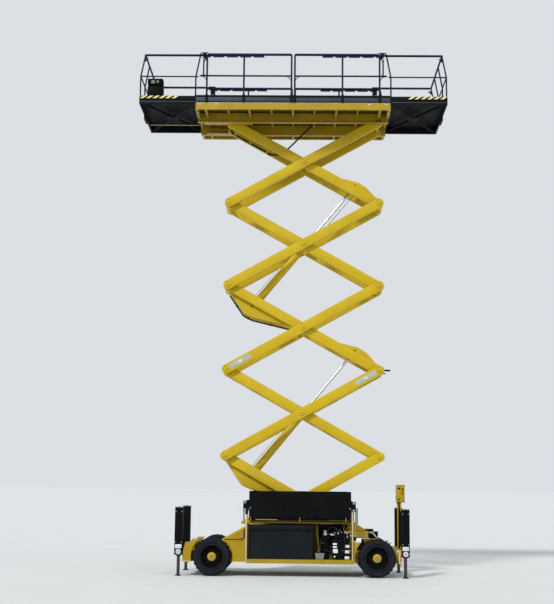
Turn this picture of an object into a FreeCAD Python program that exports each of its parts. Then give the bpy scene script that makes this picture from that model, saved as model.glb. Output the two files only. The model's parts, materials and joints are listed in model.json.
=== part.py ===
import FreeCAD, Part
import math
import os

# A rough-terrain scissor lift: five stages of crossed arms carry a platform with two sliding deck
# extensions. Lengths are in millimetres. X runs along the machine with the fixed pivots at +X, Y is
# across it, Z is up, and the origin is on the ground under the middle of the platform.

# Gap between pieces that seat on each other but move
SEAT_GAP = 0.3

# Wheels and axles
TYRE_R = 450
TYRE_W = 340
TYRE_SHOULDER = 60
TREAD_COUNT = 24
TREAD_H = 20
TREAD_BLOCK = 62
TREAD_GROOVE = 16
RIM_R = 275
RIM_WALL = 12
HUB_R = 130
HUB_IN = 20
WHEEL_Y = 865
RIGID_AXLE_X = -1837
STEER_AXLE_X = 2093
AXLE_SIDE = 120
KINGPIN_Y = 640
KINGPIN_R = 28
FORK_IN = 96
FORK_T = 22
SPINDLE_R = 45
STEER_ARM = 170
STEER_DROP = 88
TRACK_ROD_R = 18

# Chassis
FRAME_X0 = -2535
FRAME_X1 = 2650
FRAME_Z0 = 310
FRAME_Z1 = 560
RAIL_Y0 = 350
RAIL_Y1 = 470
DECK_T = 8
SIDE_Y = 1000
BAY_X0 = -1017
BAY_X1 = 1530
BAY_TOP_Z = 1319
BAY_BEAM = 71
SILL_H = 98
SILL_W = 60
POST_SIDE = 37
POST_TOP_Z = 1600
# columns: middle X of a cross member between the rails, its width along X
CHASSIS_CROSS = (
    (FRAME_X0 + 60, 120),
    (-1300, 100),
    (-300, 100),
    (700, 100),
    (BAY_X1 - 30, 100),
    (FRAME_X1 - 60, 120),
)
POD_Z0 = 335
POD_Z1 = 828
POD_STEP_X = -2333
POD_STEP = 52
POD_SLANT = 65
POD_SEAT = 60
ARCH_R = 500
END_PLATE_T = 20
END_PLATE_Z1 = 660
INNER_BAY_Y = 575
LUG_R = 45
LUG_T = 20
LUG_BORE_R = 25
LUG_Z = 260
LUG_Y_LEFT = 410
LUG_Y_RIGHT = 600
CONTROL_SIDE = 60
CONTROL_Y = 875
CONTROL_FOOT_T = 25
CONTROL_Z0 = 1777
CONTROL_H = 403
CONTROL_D = 160
CONTROL_W = 200

# Stabiliser jacks
JACK_SIDE = 190
JACK_WALL = 16
JACK_Y = 945
JACK_Z0 = 490
JACK_Z1 = 1600
JACK_ROD_R = 38
JACK_FOOT_R = 75
JACK_FOOT_T = 18
JACK_NECK = 42
JACK_ROD_TOP = 1120

# Scissor arms
ARM_PITCH = 4356
REST_ANGLE = 29.3
HIGH_ANGLE = 40
STAGES = 5
ARM_DEPTH = 240
OUTER_Y0 = 360
OUTER_Y1 = 455
INNER_Y0 = 245
INNER_Y1 = 345
PIVOT_X = 2201
PIVOT_Z = 720
SHAFT_R = 30
BORE_GAP = 0.05
SLEEVE_R = 47
BOSS_R = 78
BOSS_T = 8
ROLLER_R = 50
ROLLER_W = 60
TRACK_T = 15

# Lift cylinders: pins sit off the arms' centre lines on plates inside the inner arms
PIN_ALONG = 1400
PIN_OFF = 150
PLATE_Y0 = 198
PLATE_Y1 = 238
PIN_BOSS_Y0 = 118
PIN_BOSS_R = 75
# columns: X from the cylinder's pin, distance beyond the arm's edge
LOWER_PLATE = ((-720, -20), (-100, 290), (140, 275), (1150, -10), (1150, -60), (-720, -60))
UPPER_PLATE = ((-540, -20), (34, 141), (300, 128), (720, -30), (720, -60), (-540, -60))
# The chassis deck's wells for the lowest plates: X range and floor
WELL_X0 = -1680
WELL_X1 = -960
WELL_Z = 480
WELL_GAP = 8
BARREL_R = 92
BARREL_LEN = 2200
ROD_R = 38
ROD_INSIDE = 640
EYE_R = 62
EYE_HALF = 50
CYL_PIN_R = 30
CYL_STAGES = (1, 3)

# Platform
PLAT_HALF = 3872
PLAT_Y = 1270
FRAME_HALF = 2440
FRAME_DROP = 51
FRAME_H = 160
BEAM_Y0 = 485
BEAM_Y1 = 500
CROSS_H = 75
CROSS_W = 50
CROSS_PITCH = (FRAME_HALF - 250) / 4
END_BEAM_W = 60
FLANGE_W = 90
DECK_Z = 217
DECK_H = 202
SIDE_T = 50
FLOOR_T = 25
EXT_Y = 1210
EXT_SIDE_T = 60
EXT_LEN = 2200
EXT_TRAVEL = 1380
EXT_FLOOR_T = 22
SLOT_X = FRAME_HALF + 8 - EXT_TRAVEL - 118
SLOT_Y = 1140
RAIL_R = 24
RAIL_TOP = 1521
RAIL_MID = 934
MAIN_RAIL_Y = 1245
MAIN_POSTS = (42, FRAME_HALF / 2 + 20, FRAME_HALF - 268)
RAIL_OVERHANG = 190
TWIN_POST = 88
RACK_LEN = 1440
RACK_H = 52
RACK_T = 10
RACK_PITCH = 340
RACK_NOTCH = 60
BRACE = 190
BRACE_R = 9
MID_RAIL_R = 17
EXT_RAIL_Y = 1180
EXT_POST_X = FRAME_HALF + 18
POST_R = 19
END_LEAN = 105
CONSOLE_END = 192
CONSOLE_W = 380
CONSOLE_D = 230
CONSOLE_LIFT = 8
CONSOLE_PLATE_T = 12
CONSOLE_STAND_H = 300
CONSOLE_HEAD_H = 160

# Hoses: radius, bend radius and the Y of the platform's and the top stage's hose
HOSE_R = 14
HOSE_BEND = 130
HOSE_Y = 175
HOSE_ARM_Y = 206
HOSE_PIN_R = 12
HOSE_BRACKET_Y0 = 200
HOSE_BRACKET_Y1 = 220
HOSE_PIVOT_Z = 52
# columns: X, Z above the top pivots
PLATFORM_HOSE = ((-640, -797), (-382, -812), (-125, -650), (CROSS_PITCH - 5, HOSE_PIVOT_Z))
# columns: X along the arm from its middle, Z square to it
ARM_HOSE = ((-2100, -125), (-2040, -200), (-890, -200))
HANGER_X = (-1950, -1500, -1000)

# Covers and bay contents
COVER_X0 = BAY_X0 + 17
COVER_X1 = BAY_X1 - 18
COVER_Z0 = BAY_TOP_Z + 73
COVER_Z1 = COVER_Z0 + 611
COVER_T = 26
HINGE_R = 9
HINGE_SKIN = 9
HINGE_Y = SIDE_Y + 12
HINGE_Z = COVER_Z0 - 12
HINGE_EAR_T = 16
COVER_EARS = (COVER_X0 + 70, COVER_X0 + 1240, COVER_X1 - 172)
BATTERY_X0 = BAY_X0 + 61
BATTERY_X1 = BATTERY_X0 + 1523
BATTERY_Z1 = 1200
BAY_Y0 = INNER_BAY_Y + 45
BAY_Y1 = SIDE_Y - 40
TANK_X1 = BAY_X1 - 90

V = FreeCAD.Vector
REST = math.radians(REST_ANGLE)
SPAN = ARM_PITCH * math.cos(REST)
RISE = ARM_PITCH * math.sin(REST)
TOP_Z = PIVOT_Z + STAGES * RISE
LEFT_X = PIVOT_X - SPAN
MID_X = PIVOT_X - SPAN / 2
DECK_TOP_Z = FRAME_Z1 + DECK_T


def box(x0, x1, y0, y1, z0, z1):
    return Part.makeBox(x1 - x0, y1 - y0, z1 - z0, V(x0, y0, z0))


def both_sides(shape):
    """The shape and its mirror image across the middle plane."""
    return [shape, shape.mirror(V(0, 0, 0), V(0, 1, 0))]


def side_box(x0, x1, y0, y1, z0, z1):
    return both_sides(box(x0, x1, y0, y1, z0, z1))


def rod_y(x, z, r, y0, y1):
    return Part.makeCylinder(r, y1 - y0, V(x, y0, z), V(0, 1, 0))


def rod_x(x0, x1, y, z, r):
    return Part.makeCylinder(r, x1 - x0, V(x0, y, z), V(1, 0, 0))


def rod_z(x, y, r, z0, z1):
    return Part.makeCylinder(r, z1 - z0, V(x, y, z0), V(0, 0, 1))


def bar(a, b, r):
    """A round bar from point a to point b."""
    run = V(*b) - V(*a)
    return Part.makeCylinder(r, run.Length, V(*a), run)


def fuse(shapes):
    whole = shapes[0].multiFuse(shapes[1:]) if len(shapes) > 1 else shapes[0]
    return whole.removeSplitter()


def corner_brace(x, y, z, side, reach, r):
    """A quarter bend of round bar: level where it joins a rail at z, upright where it joins the post at x."""
    start = V(x + side * reach, y, z)
    end = V(x, y, z - reach)
    k = reach * (1 - math.sqrt(0.5))
    bend = Part.Arc(start, V(x + side * k, y, z - k), end).toShape()
    ring = Part.Wire(Part.makeCircle(r, start, V(1, 0, 0)))
    return Part.Wire([bend]).makePipeShell([ring], True, False)


def plate_xz(points, y0, y1):
    """A flat plate whose outline lies in the XZ plane, from y0 to y1."""
    loop = [V(x, y0, z) for x, z in points]
    face = Part.Face(Part.makePolygon(loop + loop[:1]))
    return face.extrude(V(0, y1 - y0, 0))


def hose(points, y, r, bend):
    """A round hose through points of the XZ plane at one Y, its corners rounded."""
    places = [V(x, y, z) for x, z in points]
    edges = []
    last = places[0]
    for a, b, c in zip(places, places[1:], places[2:]):
        u = (a - b) * (1 / (a - b).Length)
        w = (c - b) * (1 / (c - b).Length)
        half = u.getAngle(w) / 2
        towards = (u + w) * (1 / (u + w).Length)
        start = b + u * (bend / math.tan(half))
        end = b + w * (bend / math.tan(half))
        middle = b + towards * (bend / math.sin(half) - bend)
        edges.append(Part.LineSegment(last, start).toShape())
        edges.append(Part.Arc(start, middle, end).toShape())
        last = end
    edges.append(Part.LineSegment(last, places[-1]).toShape())
    ring = Part.Wire(Part.makeCircle(r, places[0], places[1] - places[0]))
    return Part.Wire(edges).makePipeShell([ring], True, False)


# Wheels

def tyre_section():
    """The carcass section from the bead to the middle of the tread: distance from the middle, radius."""
    half = TYRE_W / 2
    base = TYRE_R - TREAD_H
    return (
        (half - 20, RIM_R + SEAT_GAP),
        (half, TYRE_R - TYRE_SHOULDER),
        (half - TYRE_SHOULDER, base),
    )


def tread_block():
    """One block over the right-hand shoulder, at the top of the wheel, its crown inside the tyre's radius."""
    bead, shoulder, crown = tyre_section()
    top = math.sqrt(TYRE_R ** 2 - TREAD_BLOCK ** 2 / 4)
    outline = (
        (TREAD_GROOVE / 2, crown[1] - 10),
        (TREAD_GROOVE / 2, top),
        (crown[0], top),
        (shoulder[0] + 2, shoulder[1] + 6),
        (shoulder[0] - 12, shoulder[1] - 5),
    )
    loop = [V(-TREAD_BLOCK / 2, y, r) for y, r in outline]
    return Part.Face(Part.makePolygon(loop + loop[:1])).extrude(V(TREAD_BLOCK, 0, 0))


def tyre(x, y):
    """A carcass of flat facets, one for each tread block, with two rows of blocks half a pitch apart."""
    step = 2 * math.pi / TREAD_COUNT
    right = [(across, r / math.cos(step / 2)) for across, r in tyre_section()[:1]] + list(tyre_section()[1:])
    ring = right + [(-across, r) for across, r in right[::-1]]
    facets = []
    for k in range(TREAD_COUNT):
        a, b = (k - 0.5) * step, (k + 0.5) * step
        for (y0, r0), (y1, r1) in zip(ring, ring[1:] + ring[:1]):
            loop = [V(r * math.sin(t), across, r * math.cos(t))
                    for t, across, r in ((a, y0, r0), (a, y1, r1), (b, y1, r1), (b, y0, r0))]
            facets.append(Part.Face(Part.makePolygon(loop + loop[:1])))
    carcass = Part.Solid(Part.Shell(facets))
    blocks = []
    for side, shift in ((0, 0), (1, 0.5)):
        for k in range(TREAD_COUNT):
            block = tread_block()
            if side:
                block = block.mirror(V(0, 0, 0), V(0, 1, 0))
            block.rotate(V(0, 0, 0), V(0, 1, 0), math.degrees((k + shift) * step))
            blocks.append(block)
    whole = fuse([carcass] + blocks)
    whole.translate(V(x, y, TYRE_R))
    return whole


def rim(x, y, side):
    """A dished disc wheel with its hub, which bolts on the axle end."""
    half = TYRE_W / 2 - 22
    barrel = rod_y(0, 0, RIM_R, -half, half)
    barrel = barrel.cut(rod_y(0, 0, RIM_R - RIM_WALL, -half, half))
    disc = rod_y(0, 0, RIM_R - RIM_WALL, side * 60 - 10, side * 60 + 10)
    hub = rod_y(0, 0, HUB_R, min(side * HUB_IN, side * 150), max(side * HUB_IN, side * 150))
    whole = fuse([barrel, disc, hub])
    whole.translate(V(x, y, TYRE_R))
    return whole


# Chassis

def lashing_lug(x, side, y):
    """A lug that hangs flush with the frame's end face at x, its eye along the machine."""
    x0, x1 = sorted((x, x - side * LUG_T))
    plate = box(x0, x1, y - LUG_R, y + LUG_R, LUG_Z, FRAME_Z0)
    lug = plate.fuse(rod_x(x0, x1, y, LUG_Z, LUG_R))
    return lug.cut(rod_x(x0, x1, y, LUG_Z, LUG_BORE_R))


def chassis_frame():
    """Rails with cross members, deck plate, ledges, end plate and lashing lugs."""
    parts = side_box(FRAME_X0, FRAME_X1, RAIL_Y0, RAIL_Y1, FRAME_Z0, FRAME_Z1)
    parts.append(box(FRAME_X0, FRAME_X1, -RAIL_Y1, RAIL_Y1, FRAME_Z1, DECK_TOP_Z))
    for x, w in CHASSIS_CROSS:
        parts.append(box(x - w / 2, x + w / 2, -RAIL_Y0, RAIL_Y0, FRAME_Z0 + 40, FRAME_Z1))
    parts.append(box(FRAME_X1, FRAME_X1 + END_PLATE_T, -SIDE_Y, SIDE_Y, FRAME_Z0, END_PLATE_Z1))
    parts += side_box(FRAME_X0, BAY_X1, RAIL_Y1, INNER_BAY_Y, FRAME_Z1 - 20, DECK_TOP_Z)
    parts += both_sides(lashing_lug(FRAME_X0, -1, LUG_Y_LEFT))
    parts += both_sides(lashing_lug(FRAME_X1 + END_PLATE_T, 1, LUG_Y_RIGHT))
    frame = fuse(parts)
    for x in (RIGID_AXLE_X, STEER_AXLE_X):
        frame = frame.cut(axle_beam(x))
    x = STEER_AXLE_X - STEER_ARM
    cuts = [box(x - 45, x + 45, -RAIL_Y1, RAIL_Y1, FRAME_Z0, TYRE_R - STEER_DROP)]
    cuts += side_box(WELL_X0, WELL_X1, PLATE_Y0 - WELL_GAP, PLATE_Y1 + WELL_GAP, WELL_Z, DECK_TOP_Z)
    for cut in cuts:
        frame = frame.cut(cut)
    return frame


def bay_frame():
    """A side bay: sill and outriggers, floor, four posts, top beams and the cover's hinge ears."""
    floor_z = FRAME_Z0 + SILL_H
    parts = [
        box(BAY_X0, BAY_X1, SIDE_Y - SILL_W, SIDE_Y, FRAME_Z0, floor_z),
        box(BAY_X0, BAY_X1, INNER_BAY_Y, SIDE_Y - SILL_W, floor_z - 10, floor_z),
    ]
    for x in (BAY_X0, (BAY_X0 + BAY_X1 - SILL_W) / 2, BAY_X1 - SILL_W):
        parts.append(box(x, x + SILL_W, RAIL_Y1, SIDE_Y - SILL_W, FRAME_Z0, floor_z))
    for x in (BAY_X0, BAY_X1 - POST_SIDE):
        parts.append(box(x, x + POST_SIDE, SIDE_Y - POST_SIDE, SIDE_Y, floor_z, POST_TOP_Z))
        parts.append(box(x, x + POST_SIDE, INNER_BAY_Y, INNER_BAY_Y + POST_SIDE, floor_z, BAY_TOP_Z))
        parts.append(box(x, x + POST_SIDE, INNER_BAY_Y, SIDE_Y, BAY_TOP_Z - BAY_BEAM, BAY_TOP_Z))
    for y in (INNER_BAY_Y, SIDE_Y - POST_SIDE):
        parts.append(box(BAY_X0, BAY_X1, y, y + POST_SIDE, BAY_TOP_Z - BAY_BEAM, BAY_TOP_Z))
    for x in COVER_EARS:
        parts.append(box(x, x + HINGE_EAR_T, SIDE_Y - 10, HINGE_Y + 8, BAY_TOP_Z - 30, HINGE_Z + HINGE_R))
        parts.append(rod_x(x, x + HINGE_EAR_T + 100, HINGE_Y, HINGE_Z, HINGE_R))
    return fuse(parts)


def body_pods():
    """Side boxes before and behind the rigid axle's wheels, with round wheel arches."""
    pods = []
    arch = rod_y(RIGID_AXLE_X, TYRE_R, ARCH_R, RAIL_Y1, SIDE_Y)
    low_top = POD_Z1 - POD_STEP
    stepped = [(FRAME_X0, POD_Z0), (FRAME_X0, JACK_Z0 + POD_SEAT), (FRAME_X0 + POD_SLANT, low_top),
               (POD_STEP_X, low_top), (POD_STEP_X, POD_Z1)]
    plain = [(RIGID_AXLE_X, POD_Z0), (RIGID_AXLE_X, POD_Z1)]
    for outline, x0, x1 in ((stepped, FRAME_X0, RIGID_AXLE_X), (plain, RIGID_AXLE_X, BAY_X0)):
        low = box(x0, x1, RAIL_Y1, INNER_BAY_Y, POD_Z0, FRAME_Z1 - 20)
        high = plate_xz(outline + [(x1, POD_Z1), (x1, POD_Z0)], INNER_BAY_Y, SIDE_Y)
        pods.append(fuse([low, high]).cut(arch))
    gusset = plate_xz([(-1560, POD_Z1), (BAY_X0, POD_Z1), (BAY_X0, 1150)], SIDE_Y - 12, SIDE_Y)
    pods[1] = fuse([pods[1], gusset])
    return [piece for pod in pods for piece in both_sides(pod)]


def side_brackets():
    """Gusset and block on the bay's rear posts, above the steered wheels."""
    gusset = plate_xz([(BAY_X1, 1090), (BAY_X1 + 330, 1090), (BAY_X1, 1300)], SIDE_Y - 14, SIDE_Y)
    block = box(BAY_X1, BAY_X1 + 350, SIDE_Y - 110, SIDE_Y, 945, 1090)
    return both_sides(fuse([gusset, block]))


def axle_beam(x):
    half = AXLE_SIDE / 2
    return box(x - half, x + half, -RAIL_Y1 - 110, RAIL_Y1 + 110, TYRE_R - half, TYRE_R + half)


def rigid_axle():
    half = RAIL_Y1 + 110
    ends = both_sides(rod_y(RIGID_AXLE_X, TYRE_R, 95, half, half + 140))
    stubs = both_sides(rod_y(RIGID_AXLE_X, TYRE_R, SPINDLE_R, half + 140, WHEEL_Y + HUB_IN - SEAT_GAP))
    return fuse([axle_beam(RIGID_AXLE_X)] + ends + stubs)


def steer_axle():
    """The beam with a fork at each end that holds the kingpin."""
    parts = [axle_beam(STEER_AXLE_X)]
    y0 = RAIL_Y1 + 100
    for z0 in (TYRE_R - FORK_IN - FORK_T, TYRE_R + FORK_IN):
        parts += side_box(STEER_AXLE_X - 50, STEER_AXLE_X + 50, y0, KINGPIN_Y, z0, z0 + FORK_T)
        parts += both_sides(rod_z(STEER_AXLE_X, KINGPIN_Y, 50, z0, z0 + FORK_T))
    parts += side_box(STEER_AXLE_X - 50, STEER_AXLE_X + 50, y0 - 5, y0 + 10,
                      TYRE_R - FORK_IN - FORK_T, TYRE_R + FORK_IN + FORK_T)
    parts += both_sides(rod_z(STEER_AXLE_X, KINGPIN_Y, KINGPIN_R,
                              TYRE_R - FORK_IN - FORK_T, TYRE_R + FORK_IN + FORK_T))
    return fuse(parts)


def knuckle(side):
    """The swivel on the kingpin, with the wheel's spindle and the steering arm."""
    y = side * KINGPIN_Y
    boss = rod_z(STEER_AXLE_X, y, 46, TYRE_R - FORK_IN + SEAT_GAP, TYRE_R + FORK_IN - SEAT_GAP)
    y0, y1 = sorted((y, side * (WHEEL_Y + HUB_IN - SEAT_GAP)))
    spindle = rod_y(STEER_AXLE_X, TYRE_R, SPINDLE_R, y0, y1)
    arm = box(STEER_AXLE_X - STEER_ARM, STEER_AXLE_X, y - 22, y + 22, TYRE_R - STEER_DROP, TYRE_R - STEER_DROP + 22)
    end = rod_z(STEER_AXLE_X - STEER_ARM, y, 30, TYRE_R - STEER_DROP, TYRE_R - STEER_DROP + 22)
    bore = rod_z(STEER_AXLE_X, y, KINGPIN_R + BORE_GAP, TYRE_R - 100, TYRE_R + 100)
    return fuse([boss, spindle, arm, end]).cut(bore)


def track_rod():
    x = STEER_AXLE_X - STEER_ARM
    z = TYRE_R - STEER_DROP - SEAT_GAP - 24
    rod = rod_y(x, z, TRACK_ROD_R, -KINGPIN_Y, KINGPIN_Y)
    ends = both_sides(rod_z(x, KINGPIN_Y, 30, z - 24, z + 24))
    return fuse([rod] + ends)


def track_ends():
    """X range of the roller tracks, past the rollers' places at both ends of the lift."""
    raised = math.radians(HIGH_ANGLE)
    return PIVOT_X - ARM_PITCH - 130, PIVOT_X - ARM_PITCH * math.cos(raised) + 70


def scissor_base():
    """The lower roller tracks, and the brackets and shaft of the fixed pivots."""
    x0, x1 = track_ends()
    reach = ROLLER_R + SEAT_GAP
    y0 = OUTER_Y1 + 20
    y1 = y0 + ROLLER_W + 25
    track = fuse([
        box(x0, x1, y0, y1, DECK_TOP_Z, PIVOT_Z - reach),
        box(x0, x1, y1 - TRACK_T, y1, PIVOT_Z - reach, PIVOT_Z + reach + TRACK_T),
        box(x0, x1, y0, y1, PIVOT_Z + reach, PIVOT_Z + reach + TRACK_T),
    ])
    y2 = INNER_Y1 + 10
    ear = fuse([
        box(PIVOT_X - 110, PIVOT_X + 110, y2, y2 + 30, DECK_TOP_Z, PIVOT_Z),
        rod_y(PIVOT_X, PIVOT_Z, 75, y2, y2 + 30),
    ])
    shaft = rod_y(PIVOT_X, PIVOT_Z, SHAFT_R, -y2 - 30, y2 + 30)
    return both_sides(track) + [fuse(both_sides(ear) + [shaft])]


def jack_housing(x, y):
    half = JACK_SIDE / 2
    case = box(x - half, x + half, y - half, y + half, JACK_Z0, JACK_Z1)
    hollow = half - JACK_WALL
    case = case.cut(box(x - hollow, x + hollow, y - hollow, y + hollow, JACK_Z0 + 30, JACK_Z1 - 20))
    return case.cut(rod_z(x, y, JACK_ROD_R + SEAT_GAP, JACK_Z0, JACK_Z0 + 30))


def jack_leg(x, y):
    rod = rod_z(x, y, JACK_ROD_R, JACK_FOOT_T + JACK_NECK - 10, JACK_ROD_TOP)
    foot = rod_z(x, y, JACK_FOOT_R, 0, JACK_FOOT_T)
    neck = Part.makeCone(JACK_FOOT_R * 0.7, JACK_ROD_R, JACK_NECK, V(x, y, JACK_FOOT_T))
    return fuse([rod, foot, neck])


JACK_X_LEFT = FRAME_X0 - JACK_SIDE / 2
JACK_X_RIGHT = FRAME_X1 + END_PLATE_T + JACK_SIDE / 2


def control_post():
    """The ground controls: a box on a post that stands on the end plate."""
    x1 = FRAME_X1 - 10
    x0 = x1 - CONTROL_SIDE
    y0, y1 = -CONTROL_Y - CONTROL_SIDE / 2, -CONTROL_Y + CONTROL_SIDE / 2
    foot_z = END_PLATE_Z1 + 60
    post = box(x0, x1, y0, y1, foot_z, CONTROL_Z0)
    foot = box(x0, FRAME_X1 + END_PLATE_T, y0, y1, foot_z, foot_z + CONTROL_FOOT_T)
    web = box(FRAME_X1, FRAME_X1 + END_PLATE_T, y0, y1, END_PLATE_Z1, foot_z)
    x2 = x0 - 27
    y2 = -CONTROL_Y - CONTROL_D / 2 - 5
    case = box(x2, x2 + CONTROL_W, y2, y2 + CONTROL_D, CONTROL_Z0, CONTROL_Z0 + CONTROL_H)
    return fuse([post, foot, web, case])


def cover(side):
    """A side cover, open above its hinge line."""
    y = SIDE_Y - COVER_T
    panel = box(COVER_X0 + POST_SIDE, COVER_X1 - POST_SIDE, y, SIDE_Y, COVER_Z0, COVER_Z1)
    lip = box(COVER_X0 + POST_SIDE, COVER_X1 - POST_SIDE, y - 60, y, COVER_Z1 - 20, COVER_Z1)
    parts = [panel, lip]
    for x in COVER_EARS:
        parts.append(rod_x(x + HINGE_EAR_T + 2, x + HINGE_EAR_T + 92, HINGE_Y, HINGE_Z, HINGE_R + HINGE_SKIN))
    whole = fuse(parts)
    whole = whole.cut(rod_x(COVER_X0, COVER_X1, HINGE_Y, HINGE_Z, HINGE_R + BORE_GAP))
    return whole if side > 0 else whole.mirror(V(0, 0, 0), V(0, 1, 0))


def bay_box(x0, x1, y0, y1, z1):
    return box(x0, x1, y0, y1, FRAME_Z0 + SILL_H, z1)


def hydraulic_unit():
    """Oil tank with its valve block, and the motor with its pump, in the near bay."""
    z0 = FRAME_Z0 + SILL_H
    x0 = TANK_X1 - 400
    motor_x, motor_y = x0 - 180, BAY_Y0 + 180
    tank = box(x0, TANK_X1, BAY_Y0 + 20, BAY_Y1 - 60, z0, z0 + 452)
    valve = box(x0 + 60, TANK_X1 - 60, BAY_Y0 + 80, BAY_Y1 - 100, z0 + 452, z0 + 592)
    motor = rod_z(motor_x, motor_y, 95, z0, z0 + 492)
    pump = box(motor_x - 80, motor_x + 80, motor_y - 80, motor_y + 80, z0 + 492, z0 + 652)
    return [piece.mirror(V(0, 0, 0), V(0, 1, 0)) for piece in (fuse([tank, valve]), fuse([motor, pump]))]


# Scissor

def arm_outline(y0, y1):
    """One arm along +X with its middle at the origin and round ends."""
    half = ARM_PITCH / 2
    r = ARM_DEPTH / 2
    edges = [
        Part.LineSegment(V(-half, y0, -r), V(half, y0, -r)).toShape(),
        Part.Arc(V(half, y0, -r), V(half + r, y0, 0), V(half, y0, r)).toShape(),
        Part.LineSegment(V(half, y0, r), V(-half, y0, r)).toShape(),
        Part.Arc(V(-half, y0, r), V(-half - r, y0, 0), V(-half, y0, -r)).toShape(),
    ]
    return Part.Face(Part.Wire(edges)).extrude(V(0, y1 - y0, 0))


def place_arm(shape, stage, angle):
    """Turn an arm made along X to its angle and move it to its stage's crossing."""
    shape = shape.copy()
    shape.rotate(V(0, 0, 0), V(0, 1, 0), angle)
    shape.translate(V(MID_X, 0, PIVOT_Z + (stage - 0.5) * RISE))
    return shape


def has_cross_shaft(stage):
    """The cylinders pass the crossings between their pins, and the platform's hose the top one."""
    return stage < STAGES and stage - 1 not in CYL_STAGES


def outer_arms(stage):
    """The pair that rises to the right, with its end shafts and crossing shaft."""
    half = ARM_PITCH / 2
    parts = both_sides(arm_outline(OUTER_Y0, OUTER_Y1))
    last = stage == STAGES
    right_reach = BEAM_Y1 if last else OUTER_Y1
    parts.append(rod_y(half, 0, SHAFT_R, -right_reach, right_reach))
    left_reach = OUTER_Y1 + 20 + ROLLER_W if stage == 1 else OUTER_Y1
    parts.append(rod_y(-half, 0, SHAFT_R, -left_reach, left_reach))
    if has_cross_shaft(stage):
        parts.append(rod_y(0, 0, SHAFT_R, -OUTER_Y1, OUTER_Y1))
    else:
        parts += both_sides(rod_y(0, 0, SHAFT_R, INNER_Y0, OUTER_Y1))
    if stage == 1:
        parts += both_sides(rod_y(-half, 0, ROLLER_R, OUTER_Y1 + 20, left_reach))
    for x in (-half, 0, half):
        open_end = (x == half and last) or (x == -half and stage == 1)
        if not open_end:
            parts += both_sides(rod_y(x, 0, BOSS_R, OUTER_Y1, OUTER_Y1 + BOSS_T))
    return place_arm(fuse(parts), stage, -REST_ANGLE)


def inner_arms(stage):
    """The pair that rises to the left, with its sleeves and the cylinder plates."""
    half = ARM_PITCH / 2
    parts = both_sides(arm_outline(INNER_Y0, INNER_Y1))
    last = stage == STAGES
    for x in (-half, half):
        if x == -half and last:
            parts.append(rod_y(x, 0, SHAFT_R, -INNER_Y1 - 125, INNER_Y1 + 125))
            parts += both_sides(rod_y(x, 0, ROLLER_R, INNER_Y1 + 15, INNER_Y1 + 125))
        else:
            parts.append(rod_y(x, 0, SLEEVE_R, -INNER_Y0, INNER_Y0))
    if has_cross_shaft(stage):
        parts.append(rod_y(0, 0, SLEEVE_R, -INNER_Y0, INNER_Y0))
    if stage in CYL_STAGES:
        parts += both_sides(cylinder_plate(LOWER_PLATE, -1))
        parts.append(rod_y(-PIN_ALONG, -PIN_OFF, CYL_PIN_R, -PLATE_Y1, PLATE_Y1))
    if stage - 2 in CYL_STAGES:
        parts += both_sides(cylinder_plate(UPPER_PLATE, 1))
        parts += both_sides(rod_y(PIN_ALONG, PIN_OFF, CYL_PIN_R, EYE_HALF + 6, PLATE_Y1))
    if last:
        parts += [hanger(x) for x in HANGER_X]
    whole = fuse(parts)
    bores = [rod_y(half, 0, SHAFT_R + BORE_GAP, -INNER_Y1, INNER_Y1)]
    if not last:
        bores.append(rod_y(-half, 0, SHAFT_R + BORE_GAP, -INNER_Y1, INNER_Y1))
    bores.append(rod_y(0, 0, SHAFT_R + BORE_GAP, -INNER_Y1, INNER_Y1))
    for bore in bores:
        whole = whole.cut(bore)
    return place_arm(whole, stage, REST_ANGLE)


def cylinder_plate(outline, sign):
    """The plate that holds a cylinder's pin: sign -1 below the upper left half, 1 above the lower right."""
    x = sign * PIN_ALONG
    edge = ARM_DEPTH / 2
    points = [(x + dx, sign * (edge + out)) for dx, out in outline]
    root = [(px, sign * (edge - 25)) for px, pz in points[-2:]] + points[-2:][::-1]
    return fuse([
        plate_xz(points, PLATE_Y0, PLATE_Y1),
        plate_xz(root, PLATE_Y1, INNER_Y0),
        rod_y(x, sign * PIN_OFF, PIN_BOSS_R, PIN_BOSS_Y0, PLATE_Y0),
    ])


def hanger(x):
    """A strap on the near arm's inner face that holds the hose below the arm."""
    drop = ARM_HOSE[-1][1]
    low, high = drop - HOSE_R - 6, -ARM_DEPTH / 2 + 45
    y = -HOSE_ARM_Y - 20
    return fuse([
        box(x - 20, x + 20, y - 10, y, low, high),
        box(x - 20, x + 20, -INNER_Y0, y - 10, -ARM_DEPTH / 2 + 5, high),
    ])


def arm_hose():
    """The hose below the top stage's near inner arm, with a clip block at each hanger."""
    parts = [hose(ARM_HOSE, -HOSE_ARM_Y, HOSE_R, 40)]
    z = ARM_HOSE[-1][1]
    for x in HANGER_X:
        parts.append(box(x - 15, x + 15, -HOSE_ARM_Y - 20, -HOSE_ARM_Y + 16, z - 18, z + 18))
    return place_arm(fuse(parts), STAGES, REST_ANGLE)


def platform_hose():
    """The hose that hangs from the platform to the top stage; its eye swings on the frame's bracket."""
    points = [(x, TOP_Z + z) for x, z in PLATFORM_HOSE]
    x, z = points[-1]
    parts = [
        hose(points, -HOSE_Y, HOSE_R, HOSE_BEND),
        rod_y(x, z, 24, -HOSE_Y - 18, -HOSE_Y + 18),
        rod_y(x, z, HOSE_PIN_R, -HOSE_BRACKET_Y1 - 6, -HOSE_Y),
    ]
    return fuse(parts)


def pin_place(stage, sign):
    """World X and Z of a cylinder pin on a stage's inner arms at rest."""
    x, z = sign * PIN_ALONG, sign * PIN_OFF
    c, s = math.cos(REST), math.sin(REST)
    return MID_X + x * c + z * s, PIVOT_Z + (stage - 0.5) * RISE - x * s + z * c


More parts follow.
